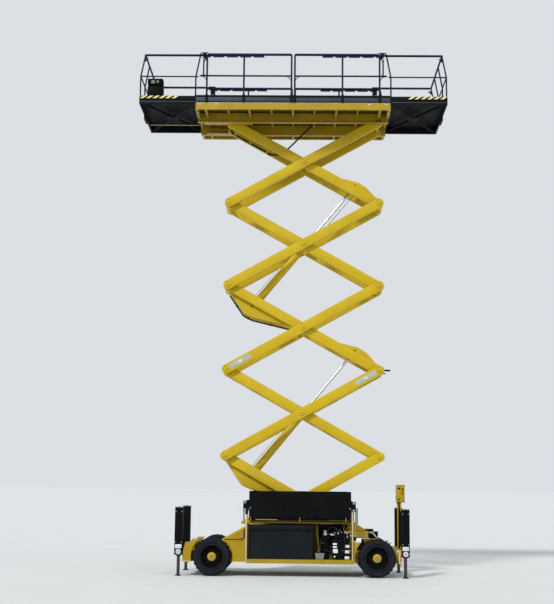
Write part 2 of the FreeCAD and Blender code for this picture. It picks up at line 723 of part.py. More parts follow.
def cylinder_axis(stage):
    x0, z0 = pin_place(stage, -1)
    x1, z1 = pin_place(stage + 2, 1)
    return x0, z0, math.hypot(x1 - x0, z1 - z0), math.degrees(math.atan2(z1 - z0, x1 - x0))


def set_on_axis(shape, stage):
    x0, z0, reach, angle = cylinder_axis(stage)
    shape = shape.copy()
    shape.rotate(V(0, 0, 0), V(0, 1, 0), -angle)
    shape.translate(V(x0, 0, z0))
    return shape


def cylinder_barrel(stage):
    tube = Part.makeCylinder(BARREL_R, BARREL_LEN - 75, V(75, 0, 0), V(1, 0, 0))
    eye = rod_y(0, 0, EYE_R, -EYE_HALF, EYE_HALF)
    link = box(0, 100, -EYE_HALF, EYE_HALF, -EYE_R, EYE_R)
    whole = fuse([tube, eye, link])
    whole = whole.cut(rod_y(0, 0, CYL_PIN_R + BORE_GAP, -EYE_HALF, EYE_HALF))
    bore = Part.makeCylinder(ROD_R + SEAT_GAP, BARREL_LEN - 120, V(120, 0, 0), V(1, 0, 0))
    return set_on_axis(whole.cut(bore), stage)


def cylinder_rod(stage):
    reach = cylinder_axis(stage)[2]
    start = BARREL_LEN - ROD_INSIDE
    rod = Part.makeCylinder(ROD_R, reach - start, V(start, 0, 0), V(1, 0, 0))
    eye = rod_y(reach, 0, EYE_R, -EYE_HALF, EYE_HALF)
    return set_on_axis(fuse([rod, eye]), stage)


# Platform

def platform_frame():
    """The yellow frame: side beams, cross members, roller tracks and the fixed pivots' ears."""
    z0 = TOP_Z + FRAME_DROP
    z1 = z0 + FRAME_H
    parts = side_box(-FRAME_HALF, FRAME_HALF, PLAT_Y - 60, PLAT_Y, z0, z1)
    for x in (-FRAME_HALF, FRAME_HALF - END_BEAM_W):
        parts.append(box(x, x + END_BEAM_W, -PLAT_Y, PLAT_Y, z1 - CROSS_H, z1))
        parts += side_box(x, x + END_BEAM_W, BEAM_Y0, PLAT_Y, z0, z1)
    for k in range(-4, 5):
        x = k * CROSS_PITCH
        parts.append(box(x - CROSS_W / 2, x + CROSS_W / 2, -PLAT_Y, PLAT_Y, z1 - CROSS_H, z1))
        if k % 2 == 0:
            parts += side_box(x - CROSS_W / 2, x + CROSS_W / 2, BEAM_Y0, PLAT_Y, z0, z1)
    reach = ROLLER_R + SEAT_GAP
    low = TOP_Z - reach - TRACK_T
    parts += side_box(-FRAME_HALF, FRAME_HALF, BEAM_Y0, BEAM_Y1, low, z1)
    parts += side_box(-FRAME_HALF, FRAME_HALF, BEAM_Y0, BEAM_Y1 + FLANGE_W, low, low + TRACK_T)
    x0, x1 = track_ends()
    y0 = INNER_Y1 + 8
    parts += side_box(x0, x1, y0, BEAM_Y0, low, low + TRACK_T)
    parts += side_box(x0, x1, y0, BEAM_Y0, TOP_Z + reach, TOP_Z + reach + TRACK_T)
    x = CROSS_PITCH
    z = TOP_Z + HOSE_PIVOT_Z
    bracket = plate_xz([(x - 45, z1 - CROSS_H), (x - 40, z - 30), (x + 30, z - 30), (x + 45, z1 - CROSS_H)],
                       -HOSE_BRACKET_Y1, -HOSE_BRACKET_Y0)
    parts.append(bracket.cut(rod_y(x - 5, z, HOSE_PIN_R + BORE_GAP, -HOSE_BRACKET_Y1, -HOSE_BRACKET_Y0)))
    frame = fuse(parts)
    return frame.cut(rod_y(PIVOT_X, TOP_Z, SHAFT_R + BORE_GAP, -BEAM_Y1, BEAM_Y1))


def main_deck():
    z0 = TOP_Z + DECK_Z
    z1 = z0 + DECK_H
    floor_z = z1 - FLOOR_T
    parts = side_box(-FRAME_HALF, FRAME_HALF, PLAT_Y - SIDE_T, PLAT_Y, z0 - 6, z1)
    parts.append(box(-SLOT_X, SLOT_X, -PLAT_Y + SIDE_T, PLAT_Y - SIDE_T, floor_z, z1 - 3))
    parts.append(box(-FRAME_HALF, FRAME_HALF, -SLOT_Y, SLOT_Y, floor_z, z1 - 3))
    parts.append(box(-100, 100, -PLAT_Y + SIDE_T, PLAT_Y - SIDE_T, z0 - 6, floor_z))
    return fuse(parts)


def extension_deck(sign):
    """A sliding deck: it nests under the main floor and its toe boards run in the side slots."""
    z0 = TOP_Z + FRAME_DROP + FRAME_H + SEAT_GAP
    top = TOP_Z + DECK_Z + DECK_H
    floor_top = top - FLOOR_T - 8
    x_out = PLAT_HALF
    x_in = PLAT_HALF - EXT_LEN
    parts = side_box(x_in, x_out, EXT_Y - EXT_SIDE_T, EXT_Y, z0, floor_top)
    parts.append(box(x_in, x_out, -EXT_Y, EXT_Y, floor_top - EXT_FLOOR_T, floor_top))
    parts += side_box(FRAME_HALF + 8, x_out, EXT_Y - 25, EXT_Y, floor_top, top)
    parts.append(box(x_out - 40, x_out, -EXT_Y, EXT_Y, z0, top))
    parts.append(box(FRAME_HALF + 10, FRAME_HALF + 60, -EXT_Y, EXT_Y, z0, floor_top))
    x_a, x_b = FRAME_HALF + 60, x_out - 40
    for y_a, y_b in ((-EXT_Y + 60, EXT_Y - 60), (EXT_Y - 60, -EXT_Y + 60)):
        brace = bar((x_a, y_a, z0 + 50), (x_b, y_b, z0 + 50), 22)
        parts.append(brace)
    whole = fuse(parts)
    return whole if sign > 0 else whole.mirror(V(0, 0, 0), V(1, 0, 0))


def main_rails():
    """Fixed side rails in two bays a side; a rack under each top rail's outer half locks an extension."""
    z0 = TOP_Z + DECK_Z + DECK_H
    top = TOP_Z + RAIL_TOP - RAIL_R
    mid = TOP_Z + RAIL_MID
    y = MAIN_RAIL_Y
    inner, middle, outer = MAIN_POSTS
    parts = [
        bar((inner, y, top), (outer + RAIL_OVERHANG, y, top), RAIL_R),
        bar((inner, y, mid), (outer + RAIL_OVERHANG, y, mid), MID_RAIL_R),
        rod_z(outer + TWIN_POST, y, POST_R, mid, top),
        box(outer - RACK_LEN, outer, y - RACK_T / 2, y + RACK_T / 2, top - RAIL_R - RACK_H, top - RAIL_R + 8),
    ]
    for x in MAIN_POSTS:
        parts.append(rod_z(x, y, POST_R, z0, top))
    for x, side in ((inner, 1), (outer, 1)):
        parts.append(corner_brace(x, y, mid, side, BRACE, BRACE_R))
    bay = fuse(parts)
    low = top - RAIL_R - RACK_H
    for k in range(4):
        x = outer - 120 - k * RACK_PITCH
        bay = bay.cut(box(x - RACK_NOTCH / 2, x + RACK_NOTCH / 2, y - RACK_T, y + RACK_T, low, low + RACK_H / 2))
    return both_sides(bay) + both_sides(bay.mirror(V(0, 0, 0), V(1, 0, 0)))


def extension_rails(sign):
    """Three-sided guard rails whose posts lean in above the middle rail."""
    z0 = TOP_Z + DECK_Z + DECK_H
    top = TOP_Z + RAIL_TOP - RAIL_R
    mid = TOP_Z + RAIL_MID
    x_end = PLAT_HALF - 20
    x_in = EXT_POST_X
    lean = END_LEAN
    parts = []
    for y in (-EXT_RAIL_Y, EXT_RAIL_Y):
        parts.append(bar((x_end, y, z0), (x_end, y, mid), POST_R))
        parts.append(bar((x_end, y, mid), (x_end - lean, y, top), POST_R))
        parts.append(bar((x_in, y, z0), (x_in, y, mid), POST_R))
        parts.append(bar((x_in, y, mid), (x_in - lean, y, top), POST_R))
        parts.append(bar((x_in - lean - 60, y, top), (x_end - lean, y, top), RAIL_R))
        parts.append(bar((x_in - 60, y, mid), (x_end, y, mid), MID_RAIL_R))
    parts.append(bar((x_end - lean, -EXT_RAIL_Y, top), (x_end - lean, EXT_RAIL_Y, top), RAIL_R))
    parts.append(bar((x_end, -EXT_RAIL_Y, mid), (x_end, EXT_RAIL_Y, mid), MID_RAIL_R))
    for y in (-400, 400):
        parts.append(bar((x_end, y, z0), (x_end, y, mid), POST_R))
        parts.append(bar((x_end, y, mid), (x_end - lean, y, top), POST_R))
    whole = fuse(parts)
    return whole if sign > 0 else whole.mirror(V(0, 0, 0), V(1, 0, 0))


def console():
    """The controls, carried on the left extension's toe board just above the main floor."""
    board = TOP_Z + DECK_Z + DECK_H
    z0 = board + CONSOLE_LIFT
    z1 = z0 + CONSOLE_PLATE_T
    z2 = z1 + CONSOLE_STAND_H
    x0 = -PLAT_HALF + CONSOLE_END
    x1 = x0 + CONSOLE_W
    y0 = -EXT_Y + 3
    y1 = y0 + CONSOLE_D + 90
    foot = box(x0, x1, y0, y0 + 19, board, z0)
    plate = box(x0, x1, y0, y1, z0, z1)
    stand = box(x0 + 40, x1 - 100, y1 - 190, y1 - 20, z1, z2)
    head = box(x0, x1, y1 - CONSOLE_D, y1, z2, z2 + CONSOLE_HEAD_H)
    return fuse([foot, plate, stand, head])


NODES = {
    "chassis_frame": [chassis_frame()],
    "bay_frames": both_sides(bay_frame()),
    "body_pods": body_pods(),
    "side_brackets": side_brackets(),
    "rigid_axle": [rigid_axle()],
    "steer_axle": [steer_axle()],
    "track_rod": [track_rod()],
    "scissor_base": scissor_base(),
    "control_post": [control_post()],
    "battery_box_near": [bay_box(BATTERY_X0, BATTERY_X1, -BAY_Y1, -BAY_Y0, BATTERY_Z1)],
    "battery_box_far": [bay_box(BATTERY_X0, BATTERY_X1, BAY_Y0, BAY_Y1, BATTERY_Z1)],
    "tank_far": [bay_box(BATTERY_X1 + 73, TANK_X1, BAY_Y0 + 20, BAY_Y1 - 40, 900)],
    "hydraulic_unit": hydraulic_unit(),
    "cover_near": [cover(-1)],
    "cover_far": [cover(1)],
    "platform_frame": [platform_frame()],
    "main_deck": [main_deck()],
    "main_rails": main_rails(),
    "console": [console()],
    "platform_hose": [platform_hose()],
    "hose_arm_5": [arm_hose()],
}

# columns: name, X of the wheel's middle, sign of Y
WHEELS = (
    ("rigid_near", RIGID_AXLE_X, -1),
    ("rigid_far", RIGID_AXLE_X, 1),
    ("steer_near", STEER_AXLE_X, -1),
    ("steer_far", STEER_AXLE_X, 1),
)
for name, x, side in WHEELS:
    NODES["tyre_" + name] = [tyre(x, side * WHEEL_Y)]
    NODES["rim_" + name] = [rim(x, side * WHEEL_Y, side)]
for name, side in (("near", -1), ("far", 1)):
    NODES["knuckle_" + name] = [knuckle(side)]
    for end, x in (("left", JACK_X_LEFT), ("right", JACK_X_RIGHT)):
        NODES["jack_housing_" + end + "_" + name] = [jack_housing(x, side * JACK_Y)]
        NODES["jack_leg_" + end + "_" + name] = [jack_leg(x, side * JACK_Y)]
for stage in range(1, STAGES + 1):
    NODES["arms_outer_%d" % stage] = [outer_arms(stage)]
    NODES["arms_inner_%d" % stage] = [inner_arms(stage)]
for name, stage in zip(("lower", "upper"), CYL_STAGES):
    NODES["barrel_" + name] = [cylinder_barrel(stage)]
    NODES["rod_" + name] = [cylinder_rod(stage)]
for name, sign in (("left", -1), ("right", 1)):
    NODES["deck_extension_" + name] = [extension_deck(sign)]
    NODES["rails_extension_" + name] = [extension_rails(sign)]

os.makedirs("parts", exist_ok=True)
for name, shapes in NODES.items():
    solids = [solid for shape in shapes for solid in shape.Solids]
    whole = solids[0] if len(solids) == 1 else Part.makeCompound(solids)
    whole.exportStep("parts/" + name + ".step")
    print(name, len(solids), whole.isValid(), round(whole.Volume / 1e9, 4))
print("top pivot", TOP_Z, "left pivots", LEFT_X, "middle", MID_X)
for stage in CYL_STAGES:
    print("cylinder", stage, cylinder_axis(stage), pin_place(stage + 2, 1))
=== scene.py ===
# %% [markdown]
# # Dressing a rough-terrain scissor lift
#
# The solid model of the lift is already packed: every arm, wheel, jack and rail is a node that hangs on
# a moving body. This lesson loads that frame and dresses it, so that each surface looks like the painted
# steel, rubber, chrome and aluminium of the real machine. All lengths are metres, X runs along the
# machine towards the steered wheels, Y goes across it, and Z is up.

# %% Load the frame
import json
import math

import bmesh
import bpy
from mathutils import Matrix, Vector


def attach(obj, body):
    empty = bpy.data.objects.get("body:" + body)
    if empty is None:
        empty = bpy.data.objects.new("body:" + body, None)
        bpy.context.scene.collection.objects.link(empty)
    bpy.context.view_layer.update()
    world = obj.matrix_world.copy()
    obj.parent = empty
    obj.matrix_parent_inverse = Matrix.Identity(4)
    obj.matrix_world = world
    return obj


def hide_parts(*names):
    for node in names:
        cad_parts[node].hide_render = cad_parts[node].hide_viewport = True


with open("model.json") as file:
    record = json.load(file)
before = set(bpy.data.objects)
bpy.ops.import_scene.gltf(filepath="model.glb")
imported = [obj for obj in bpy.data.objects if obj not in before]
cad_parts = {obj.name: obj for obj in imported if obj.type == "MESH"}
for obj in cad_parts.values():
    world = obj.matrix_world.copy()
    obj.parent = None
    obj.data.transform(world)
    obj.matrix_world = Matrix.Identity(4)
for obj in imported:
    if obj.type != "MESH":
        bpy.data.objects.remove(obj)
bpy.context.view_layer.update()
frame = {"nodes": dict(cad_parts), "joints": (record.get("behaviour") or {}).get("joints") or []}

# %% [markdown]
# ## Colours and shader nodes
#
# Paint makers give colours as they look on a screen, in sRGB. Shaders compute in linear light, so one
# function turns the hex codes over. A second one adds a shader node with its settings and links, which
# keeps each material's recipe short enough to read.

# %% Helpers for colours and nodes
def linear(code):
    """An sRGB hex colour as linear red, green, blue and alpha."""
    values = [int(code[i:i + 2], 16) / 255 for i in (1, 3, 5)]
    return [v / 12.92 if v <= 0.04045 else ((v + 0.055) / 1.055) ** 2.4 for v in values] + [1.0]


def add(tree, kind, inputs=None, **settings):
    """Adds a shader node; inputs are numbers, colours or the sockets that feed them."""
    node = tree.nodes.new("ShaderNode" + kind)
    for name, value in settings.items():
        setattr(node, name, value)
    for name, value in (inputs or {}).items():
        if isinstance(value, bpy.types.NodeSocket):
            tree.links.new(value, node.inputs[name])
        else:
            node.inputs[name].default_value = value
    return node


def start_material(name):
    """An empty material, its node tree and the place on the object that its patterns read."""
    material = bpy.data.materials.new(name)
    material.use_nodes = True
    tree = material.node_tree
    tree.nodes.clear()
    return material, tree, add(tree, "TexCoord").outputs["Object"]


def surface(tree, inputs):
    """The principled shader on the material's output."""
    shader = add(tree, "BsdfPrincipled", inputs)
    add(tree, "OutputMaterial", {"Surface": shader.outputs["BSDF"]})


# %% [markdown]
# ## Sprayed enamel
#
# Nearly the whole machine is welded steel under two-pack enamel, sprayed in a workshop. Three things
# tell the eye that it is sprayed paint and not plastic: a faint orange peel, which is drawn here at
# 9 mm because the real 3 mm is too fine to show, slow cloudy changes in the colour where the coat is
# thinner or dusty, and long runs of washed-down dust below the edges. Small chips show the primer.

# %% Enamel recipe
PEEL = 0.009
CLOUD = 0.6
DUST_RUN = 0.09
CHIP = 0.02


def enamel(name, base, thin, dust, gloss, chip="#6A6258", dusty=0.3, chipped=0.7, coat=0.15, shine=0.35):
    """Sprayed enamel: its full colour, the colour of a thin coat, of dust, and its roughness."""
    material, tree, place = start_material(name)
    cloud = add(tree, "TexNoise", {"Vector": place, "Scale": 1 / CLOUD, "Detail": 4.0}).outputs["Fac"]
    cloudy = add(tree, "MapRange", {0: cloud, 1: 0.35, 2: 0.7}).outputs[0]
    full = add(tree, "Mix", {0: cloudy, 6: linear(base), 7: linear(thin)}, data_type="RGBA").outputs[2]
    drawn = add(tree, "Mapping", {"Vector": place, "Scale": (1 / DUST_RUN, 1 / DUST_RUN, 1.1)}).outputs[0]
    runs = add(tree, "TexNoise", {"Vector": drawn, "Scale": 1.0, "Detail": 5.0,
                                  "Roughness": 0.6}).outputs["Fac"]
    film = add(tree, "MapRange", {0: runs, 1: 0.48, 2: 0.8, 3: 0.0, 4: dusty}).outputs[0]
    dusted = add(tree, "Mix", {0: film, 6: full, 7: linear(dust)}, data_type="RGBA").outputs[2]
    spots = add(tree, "TexNoise", {"Vector": place, "Scale": 1 / CHIP, "Detail": 2.0}).outputs["Fac"]
    chips = add(tree, "MapRange", {0: spots, 1: chipped, 2: chipped + 0.02}).outputs[0]
    colour = add(tree, "Mix", {0: chips, 6: dusted, 7: linear(chip)}, data_type="RGBA").outputs[2]
    rough = add(tree, "MapRange", {0: runs, 1: 0.35, 2: 0.75, 3: gloss, 4: gloss + 0.22}).outputs[0]
    peel = add(tree, "TexNoise", {"Vector": place, "Scale": 1 / PEEL, "Detail": 1.0}).outputs["Fac"]
    depth = add(tree, "Math", {0: peel, 1: chips}, operation="SUBTRACT").outputs[0]
    bump = add(tree, "Bump", {"Height": depth, "Strength": 0.18, "Distance": 0.0012}).outputs["Normal"]
    surface(tree, {"Base Color": colour, "Roughness": rough, "Normal": bump, "IOR": 1.5,
                   "Specular IOR Level": shine, "Coat Weight": coat, "Coat Roughness": 0.18})
    return material


yellow = enamel("machine_yellow_enamel", "#C6A904", "#BB9D04", "#A08A4C", 0.4, coat=0.05, shine=0.28)
# painted shade: the chassis yellow is a darker copy of the arms' yellow, standing in for the dimmer light low
# on the machine
low_yellow = enamel("chassis_yellow_enamel_darkened_as_painted_shade", "#A68908", "#9A7E06", "#7E6C3C", 0.44, coat=0.0, shine=0.25)
# painted shade: the block above the steered wheel gets a still darker copy of the yellow, for the shade it
# lies in
side_yellow = enamel("side_block_yellow_enamel_darkened_as_painted_shade", "#8C7208", "#806806", "#6E5F38", 0.46, coat=0.0, shine=0.22)
# painted shade: the chassis frame, the scissors' base, the platform's frame and the arch plates get a darker
# copy of the yellow, for the shade they lie in
ochre = enamel("frame_yellow_enamel_darkened_as_painted_shade", "#AE8F0C", "#9C800A", "#7A6A3C", 0.4)
# partly wear and partly painted highlight: cream marks worn edges, and also pale strips that stand in for
# light on the pods' steps, the posts' edges and the platform frame's top
cream = enamel("worn_cream_and_painted_highlight_enamel", "#C9BE8C", "#B5A874", "#8E8466", 0.5)
black = enamel("satin_black_enamel", "#050608", "#090A0C", "#1D1C19", 0.55, "#191815", 0.15, 0.72, 0.0, 0.08)
navy = enamel("deck_green_black_enamel", "#090D10", "#0E1417", "#1F2322", 0.55, "#1C1E1C", 0.18, 0.72, 0.0,
              0.1)
strip_grey = enamel("deck_edge_blue_grey_enamel", "#2E3442", "#353C4A", "#50535A", 0.45, "#4A4A4C", 0.25,
                    0.72, 0.0, 0.3)
slate = enamel("battery_slate_powder_coat", "#0F1418", "#141A1E", "#282924", 0.58, "#222321", 0.2, 0.72, 0.0,
               0.1)
rail_paint = enamel("rail_blue_black_enamel", "#121A36", "#18213F", "#2A3142", 0.46, "#2A2C32", 0.15, 0.72,
                    0.0, 0.15)
grey_green = enamel("grey_green_enamel", "#6B746E", "#78817A", "#8A877A", 0.5)
# painted shade: a dark ochre copy of the yellow for the bay's beam and dividers and the sheet under the deck,
# which lie in shade
shaded = enamel("painted_shade_ochre_enamel", "#52430F", "#493B0C", "#4A4024", 0.55, coat=0.0, shine=0.12)
# painted shade: dark brown strips for the shaded slots beside the bay posts and the shadow line at the
# steered wheel's block
brown = enamel("painted_shade_brown_paint", "#2A1C08", "#33230C", "#3F3520", 0.6, "#3A2E1C", 0.2, 0.72, 0.0,
               0.1)
rust_red = enamel("red_oxide_primer", "#4A140C", "#5A1E14", "#5A4638", 0.62)
print("enamels:", sum(1 for m in bpy.data.materials if "enamel" in m.name))

# %% [markdown]
# ## Rubber, chrome, zinc and cast iron
#
# Tyres are carbon-black rubber, greyed by road dust that stays in the pores. Cylinder rods and jack legs
# are ground steel under hard chrome: nearly a mirror, with very fine rings from polishing. Bolts and
# fittings are zinc plated, which is a cloudy soft metal, and axles are iron castings under dark enamel.

# %% Recipes for rubber and bare metals
PORES = 0.012
ZINC_CLOUD = 0.015


def rubber(name, base, dust, rough, dusty):
    """Carbon-black rubber with dust in its pores."""
    material, tree, place = start_material(name)
    pores = add(tree, "TexNoise", {"Vector": place, "Scale": 1 / PORES, "Detail": 5.0}).outputs["Fac"]
    drift = add(tree, "TexNoise", {"Vector": place, "Scale": 4.0, "Detail": 4.0}).outputs["Fac"]
    both = add(tree, "Math", {0: pores, 1: drift}, operation="MULTIPLY").outputs[0]
    film = add(tree, "MapRange", {0: both, 1: 0.15, 2: 0.42, 3: 0.0, 4: dusty}).outputs[0]
    colour = add(tree, "Mix", {0: film, 6: linear(base), 7: linear(dust)}, data_type="RGBA").outputs[2]
    bump = add(tree, "Bump", {"Height": pores, "Strength": 0.25, "Distance": 0.001}).outputs["Normal"]
    surface(tree, {"Base Color": colour, "Roughness": rough, "Normal": bump, "IOR": 1.52,
                   "Specular IOR Level": 0.2})
    return material


def metal(name, base, tarnish, rough, grain, stretch=(1.0, 1.0, 1.0), bump=0.12):
    """A bare or plated metal, cloudy at the size of its grain."""
    material, tree, place = start_material(name)
    drawn = add(tree, "Mapping", {"Vector": place, "Scale": stretch}).outputs[0]
    cloud = add(tree, "TexNoise", {"Vector": drawn, "Scale": 1 / grain, "Detail": 3.0}).outputs["Fac"]
    film = add(tree, "MapRange", {0: cloud, 1: 0.4, 2: 0.75}).outputs[0]
    colour = add(tree, "Mix", {0: film, 6: linear(base), 7: linear(tarnish)}, data_type="RGBA").outputs[2]
    rougher = add(tree, "MapRange", {0: cloud, 1: 0.3, 2: 0.7, 3: rough, 4: rough * 1.8}).outputs[0]
    raised = add(tree, "Bump", {"Height": cloud, "Strength": bump, "Distance": 0.0006}).outputs["Normal"]
    surface(tree, {"Base Color": colour, "Metallic": 1.0, "Roughness": rougher, "Normal": raised})
    return material


tread_rubber = rubber("tyre_carbon_black_rubber", "#0D1118", "#383A3C", 0.9, 0.22)
# partly dust and partly painted highlight: a lighter rubber on the sidewall rings' crests stands in for light
# catching the ridges
scuffed_and_lit_rubber = rubber("scuffed_tyre_rubber_and_painted_highlight", "#282E38", "#4C5056", 0.85, 0.3)
hose_rubber = rubber("hydraulic_hose_rubber", "#08090A", "#2C2B28", 0.62, 0.12)
chrome = metal("hard_chrome_on_ground_steel", "#DADCDE", "#C6CACD", 0.2, 0.06, (1, 1, 6), 0.0)
zinc = metal("zinc_plated_steel", "#B9BDBE", "#8F9698", 0.3, ZINC_CLOUD)
# painted reflection: the jack legs' chrome has a dark grey base that stands in for the dark surroundings it
# reflects
leg_chrome = metal("darkened_chrome_of_the_jack_legs_painted_reflection", "#4E524E", "#383B3A", 0.26, 0.05, (1, 1, 6), 0.0)
copper = metal("dull_copper_fitting", "#B08A6E", "#8A6850", 0.36, ZINC_CLOUD)
casting = enamel("painted_iron_casting", "#0E1012", "#141618", "#2E2C27", 0.65, "#211F1D", 0.3, 0.72, 0.0,
                 0.12)

# %% [markdown]
# ## Plates, reflectors and tread plate
#
# The blank plates are printed vinyl on aluminium, a little grimed from one side. A reflector is a clear
# lens over a field of tiny cube corners, drawn here at 9 mm. The deck's floor is rolled steel tread
# plate, whose lozenges lie in a regular grid, so a pattern with no randomness gives them.

# %% Recipes for plates, reflectors and tread plate
LENS_CELL = 0.009
LOZENGE = 0.045


def vinyl(name, base, grime):
    """Printed vinyl with a film of grime that gathers in clouds."""
    material, tree, place = start_material(name)
    cloud = add(tree, "TexNoise", {"Vector": place, "Scale": 14.0, "Detail": 5.0}).outputs["Fac"]
    film = add(tree, "MapRange", {0: cloud, 1: 0.42, 2: 0.72, 3: 0.0, 4: 0.55}).outputs[0]
    colour = add(tree, "Mix", {0: film, 6: linear(base), 7: linear(grime)}, data_type="RGBA").outputs[2]
    rough = add(tree, "MapRange", {0: film, 3: 0.32, 4: 0.6}).outputs[0]
    surface(tree, {"Base Color": colour, "Roughness": rough, "IOR": 1.46})
    return material


def reflector(name, base, deep):
    """A moulded lens over small cube corners."""
    material, tree, place = start_material(name)
    cells = add(tree, "TexVoronoi", {"Vector": place, "Scale": 1 / LENS_CELL}).outputs
    shade = add(tree, "MapRange", {0: cells["Distance"], 1: 0.0, 2: 0.7}).outputs[0]
    colour = add(tree, "Mix", {0: shade, 6: linear(base), 7: linear(deep)}, data_type="RGBA").outputs[2]
    bump = add(tree, "Bump", {"Height": cells["Distance"], "Strength": 0.35,
                              "Distance": 0.001}).outputs["Normal"]
    surface(tree, {"Base Color": colour, "Roughness": 0.22, "Normal": bump, "IOR": 1.49, "Coat Weight": 0.6,
                   "Coat Roughness": 0.06})
    return material


def tread_plate(name, base, worn):
    """Painted steel tread plate, its lozenges rubbed bright on top."""
    material, tree, place = start_material(name)
    grid = add(tree, "Mapping", {"Vector": place, "Rotation": (0, 0, math.radians(45)),
                                 "Scale": (1 / LOZENGE, 2.2 / LOZENGE, 0.0)}).outputs[0]
    cell = add(tree, "TexVoronoi", {"Vector": grid, "Scale": 1.0, "Randomness": 0.0}).outputs["Distance"]
    raised = add(tree, "MapRange", {0: cell, 1: 0.42, 2: 0.3}).outputs[0]
    cloud = add(tree, "TexNoise", {"Vector": place, "Scale": 2.5, "Detail": 6.0}).outputs["Fac"]
    rubbed = add(tree, "Math", {0: raised, 1: cloud}, operation="MULTIPLY").outputs[0]
    colour = add(tree, "Mix", {0: rubbed, 6: linear(base), 7: linear(worn)}, data_type="RGBA").outputs[2]
    bump = add(tree, "Bump", {"Height": raised, "Strength": 0.6, "Distance": 0.002}).outputs["Normal"]
    surface(tree, {"Base Color": colour, "Roughness": 0.5, "Normal": bump, "IOR": 1.5})
    return material


plate_white = vinyl("blank_white_vinyl_plate", "#E4E7E9", "#8F9296")
plate_blue = vinyl("blank_pale_blue_vinyl_plate", "#B9C6DA", "#7F8A9C")
plate_yellow = vinyl("hazard_yellow_vinyl", "#E9DE9A", "#B5A763")
pale_blue_grey = vinyl("blank_pale_grey_vinyl_strip", "#AAB8B6", "#84918E")
orange_lens = reflector("orange_reflector_lens", "#D8801A", "#A04C08")
white_lens = reflector("white_reflector_lens", "#EDEEF0", "#A9ADB4")
red_button = vinyl("red_stop_button_plastic", "#B01812", "#5E1210")
deck_plate = tread_plate("painted_steel_tread_plate", "#2A2F31", "#8A8D8C")

# %% [markdown]
# ## Modelling helpers
#
# Every extra part below is made from a few starting shapes: a bevelled block, a round bar, a turned
# profile and a flat plate. Each helper builds its shape in a small mesh of its own, finishes it with
# bmesh operators, and hands it back to be joined into the piece. Real fabricated steel has no knife
# edges, so nearly every block gets a small bevel that catches the light.

# %% Helpers for shapes
def join(target, part, turn=None):
    """Adds a finished part to a piece's mesh, moved by a matrix first where one is given."""
    if turn is not None:
        bmesh.ops.transform(part, matrix=turn, verts=part.verts)
        if turn.determinant() < 0:
            bmesh.ops.reverse_faces(part, faces=part.faces)
    mesh = bpy.data.meshes.new("part")
    part.to_mesh(mesh)
    part.free()
    target.from_mesh(mesh)
    bpy.data.meshes.remove(mesh)


def rounded(part, edges, radius, segments=2):
    """Bevels some of a part's edges."""
    bmesh.ops.bevel(part, geom=edges, offset=radius, offset_type="OFFSET", segments=segments, profile=0.5,
                    affect="EDGES", clamp_overlap=True, material=-1)


def block(low, high, edge=0.004, segments=2):
    """A block between two corners, its edges rounded."""
    part = bmesh.new()
    bmesh.ops.create_cube(part, size=1.0)
    size = [high[i] - low[i] for i in range(3)]
    bmesh.ops.scale(part, vec=size, verts=part.verts)
    bmesh.ops.translate(part, vec=[(high[i] + low[i]) / 2 for i in range(3)], verts=part.verts)
    if edge:
        rounded(part, part.edges[:], edge, segments)
    return part


def stand_up(part, at, along):
    """Turns a part's Z axis along a direction and moves its origin to a point."""
    turn = Matrix.Translation(at) @ Vector(along).to_track_quat("Z", "Y").to_matrix().to_4x4()
    bmesh.ops.transform(part, matrix=turn, verts=part.verts)
    return part


def bar(a, b, radius, sides=16, edge=0.0):
    """A round bar from point a to point b."""
    a, b = Vector(a), Vector(b)
    part = bmesh.new()
    bmesh.ops.create_cone(part, cap_ends=True, segments=sides, radius1=radius, radius2=radius,
                          depth=(b - a).length)
    if edge:
        rounded(part, [e for e in part.edges if abs(e.verts[0].co.z - e.verts[1].co.z) < 1e-6], edge)
    return stand_up(part, (a + b) / 2, b - a)


def lathe(part, steps):
    """Spins a part's line once round Z and closes it where it meets itself."""
    bmesh.ops.spin(part, geom=part.verts[:] + part.edges[:], cent=(0, 0, 0), axis=(0, 0, 1), dvec=(0, 0, 0),
                   angle=2 * math.pi, steps=steps, use_merge=True, use_duplicate=False)
    bmesh.ops.remove_doubles(part, verts=part.verts, dist=1e-5)
    bmesh.ops.recalc_face_normals(part, faces=part.faces)


def turned(profile, at=(0, 0, 0), along=(0, 0, 1), sides=32):
    """A part turned on a lathe from radius and height pairs, its axis through a point."""
    part = bmesh.new()
    verts = [part.verts.new((r, 0, h)) for r, h in profile]
    for pair in zip(verts, verts[1:]):
        part.edges.new(pair)
    lathe(part, sides)
    return stand_up(part, at, along)


def thicken(part, step):
    """Extrudes a part's only face and moves the new one by a step."""
    grown = bmesh.ops.extrude_face_region(part, geom=part.faces[:])["geom"]
    bmesh.ops.translate(part, vec=step, verts=[g for g in grown if isinstance(g, bmesh.types.BMVert)])


def flat_plate(outline, y0, y1, corner=0.0, edge=0.003):
    """A plate cut to an XZ outline, its corners and then its rims rounded."""
    part = bmesh.new()
    part.faces.new([part.verts.new((x, y0, z)) for x, z in outline])
    thicken(part, (0, y1 - y0, 0))
    if corner:
        rounded(part, [e for e in part.edges if abs(e.verts[0].co.y - e.verts[1].co.y) > 1e-6], corner, 5)
    if edge:
        rounded(part, [e for e in part.edges if abs(e.verts[0].co.y - e.verts[1].co.y) < 1e-6], edge)
    bmesh.ops.recalc_face_normals(part, faces=part.faces)
    return part


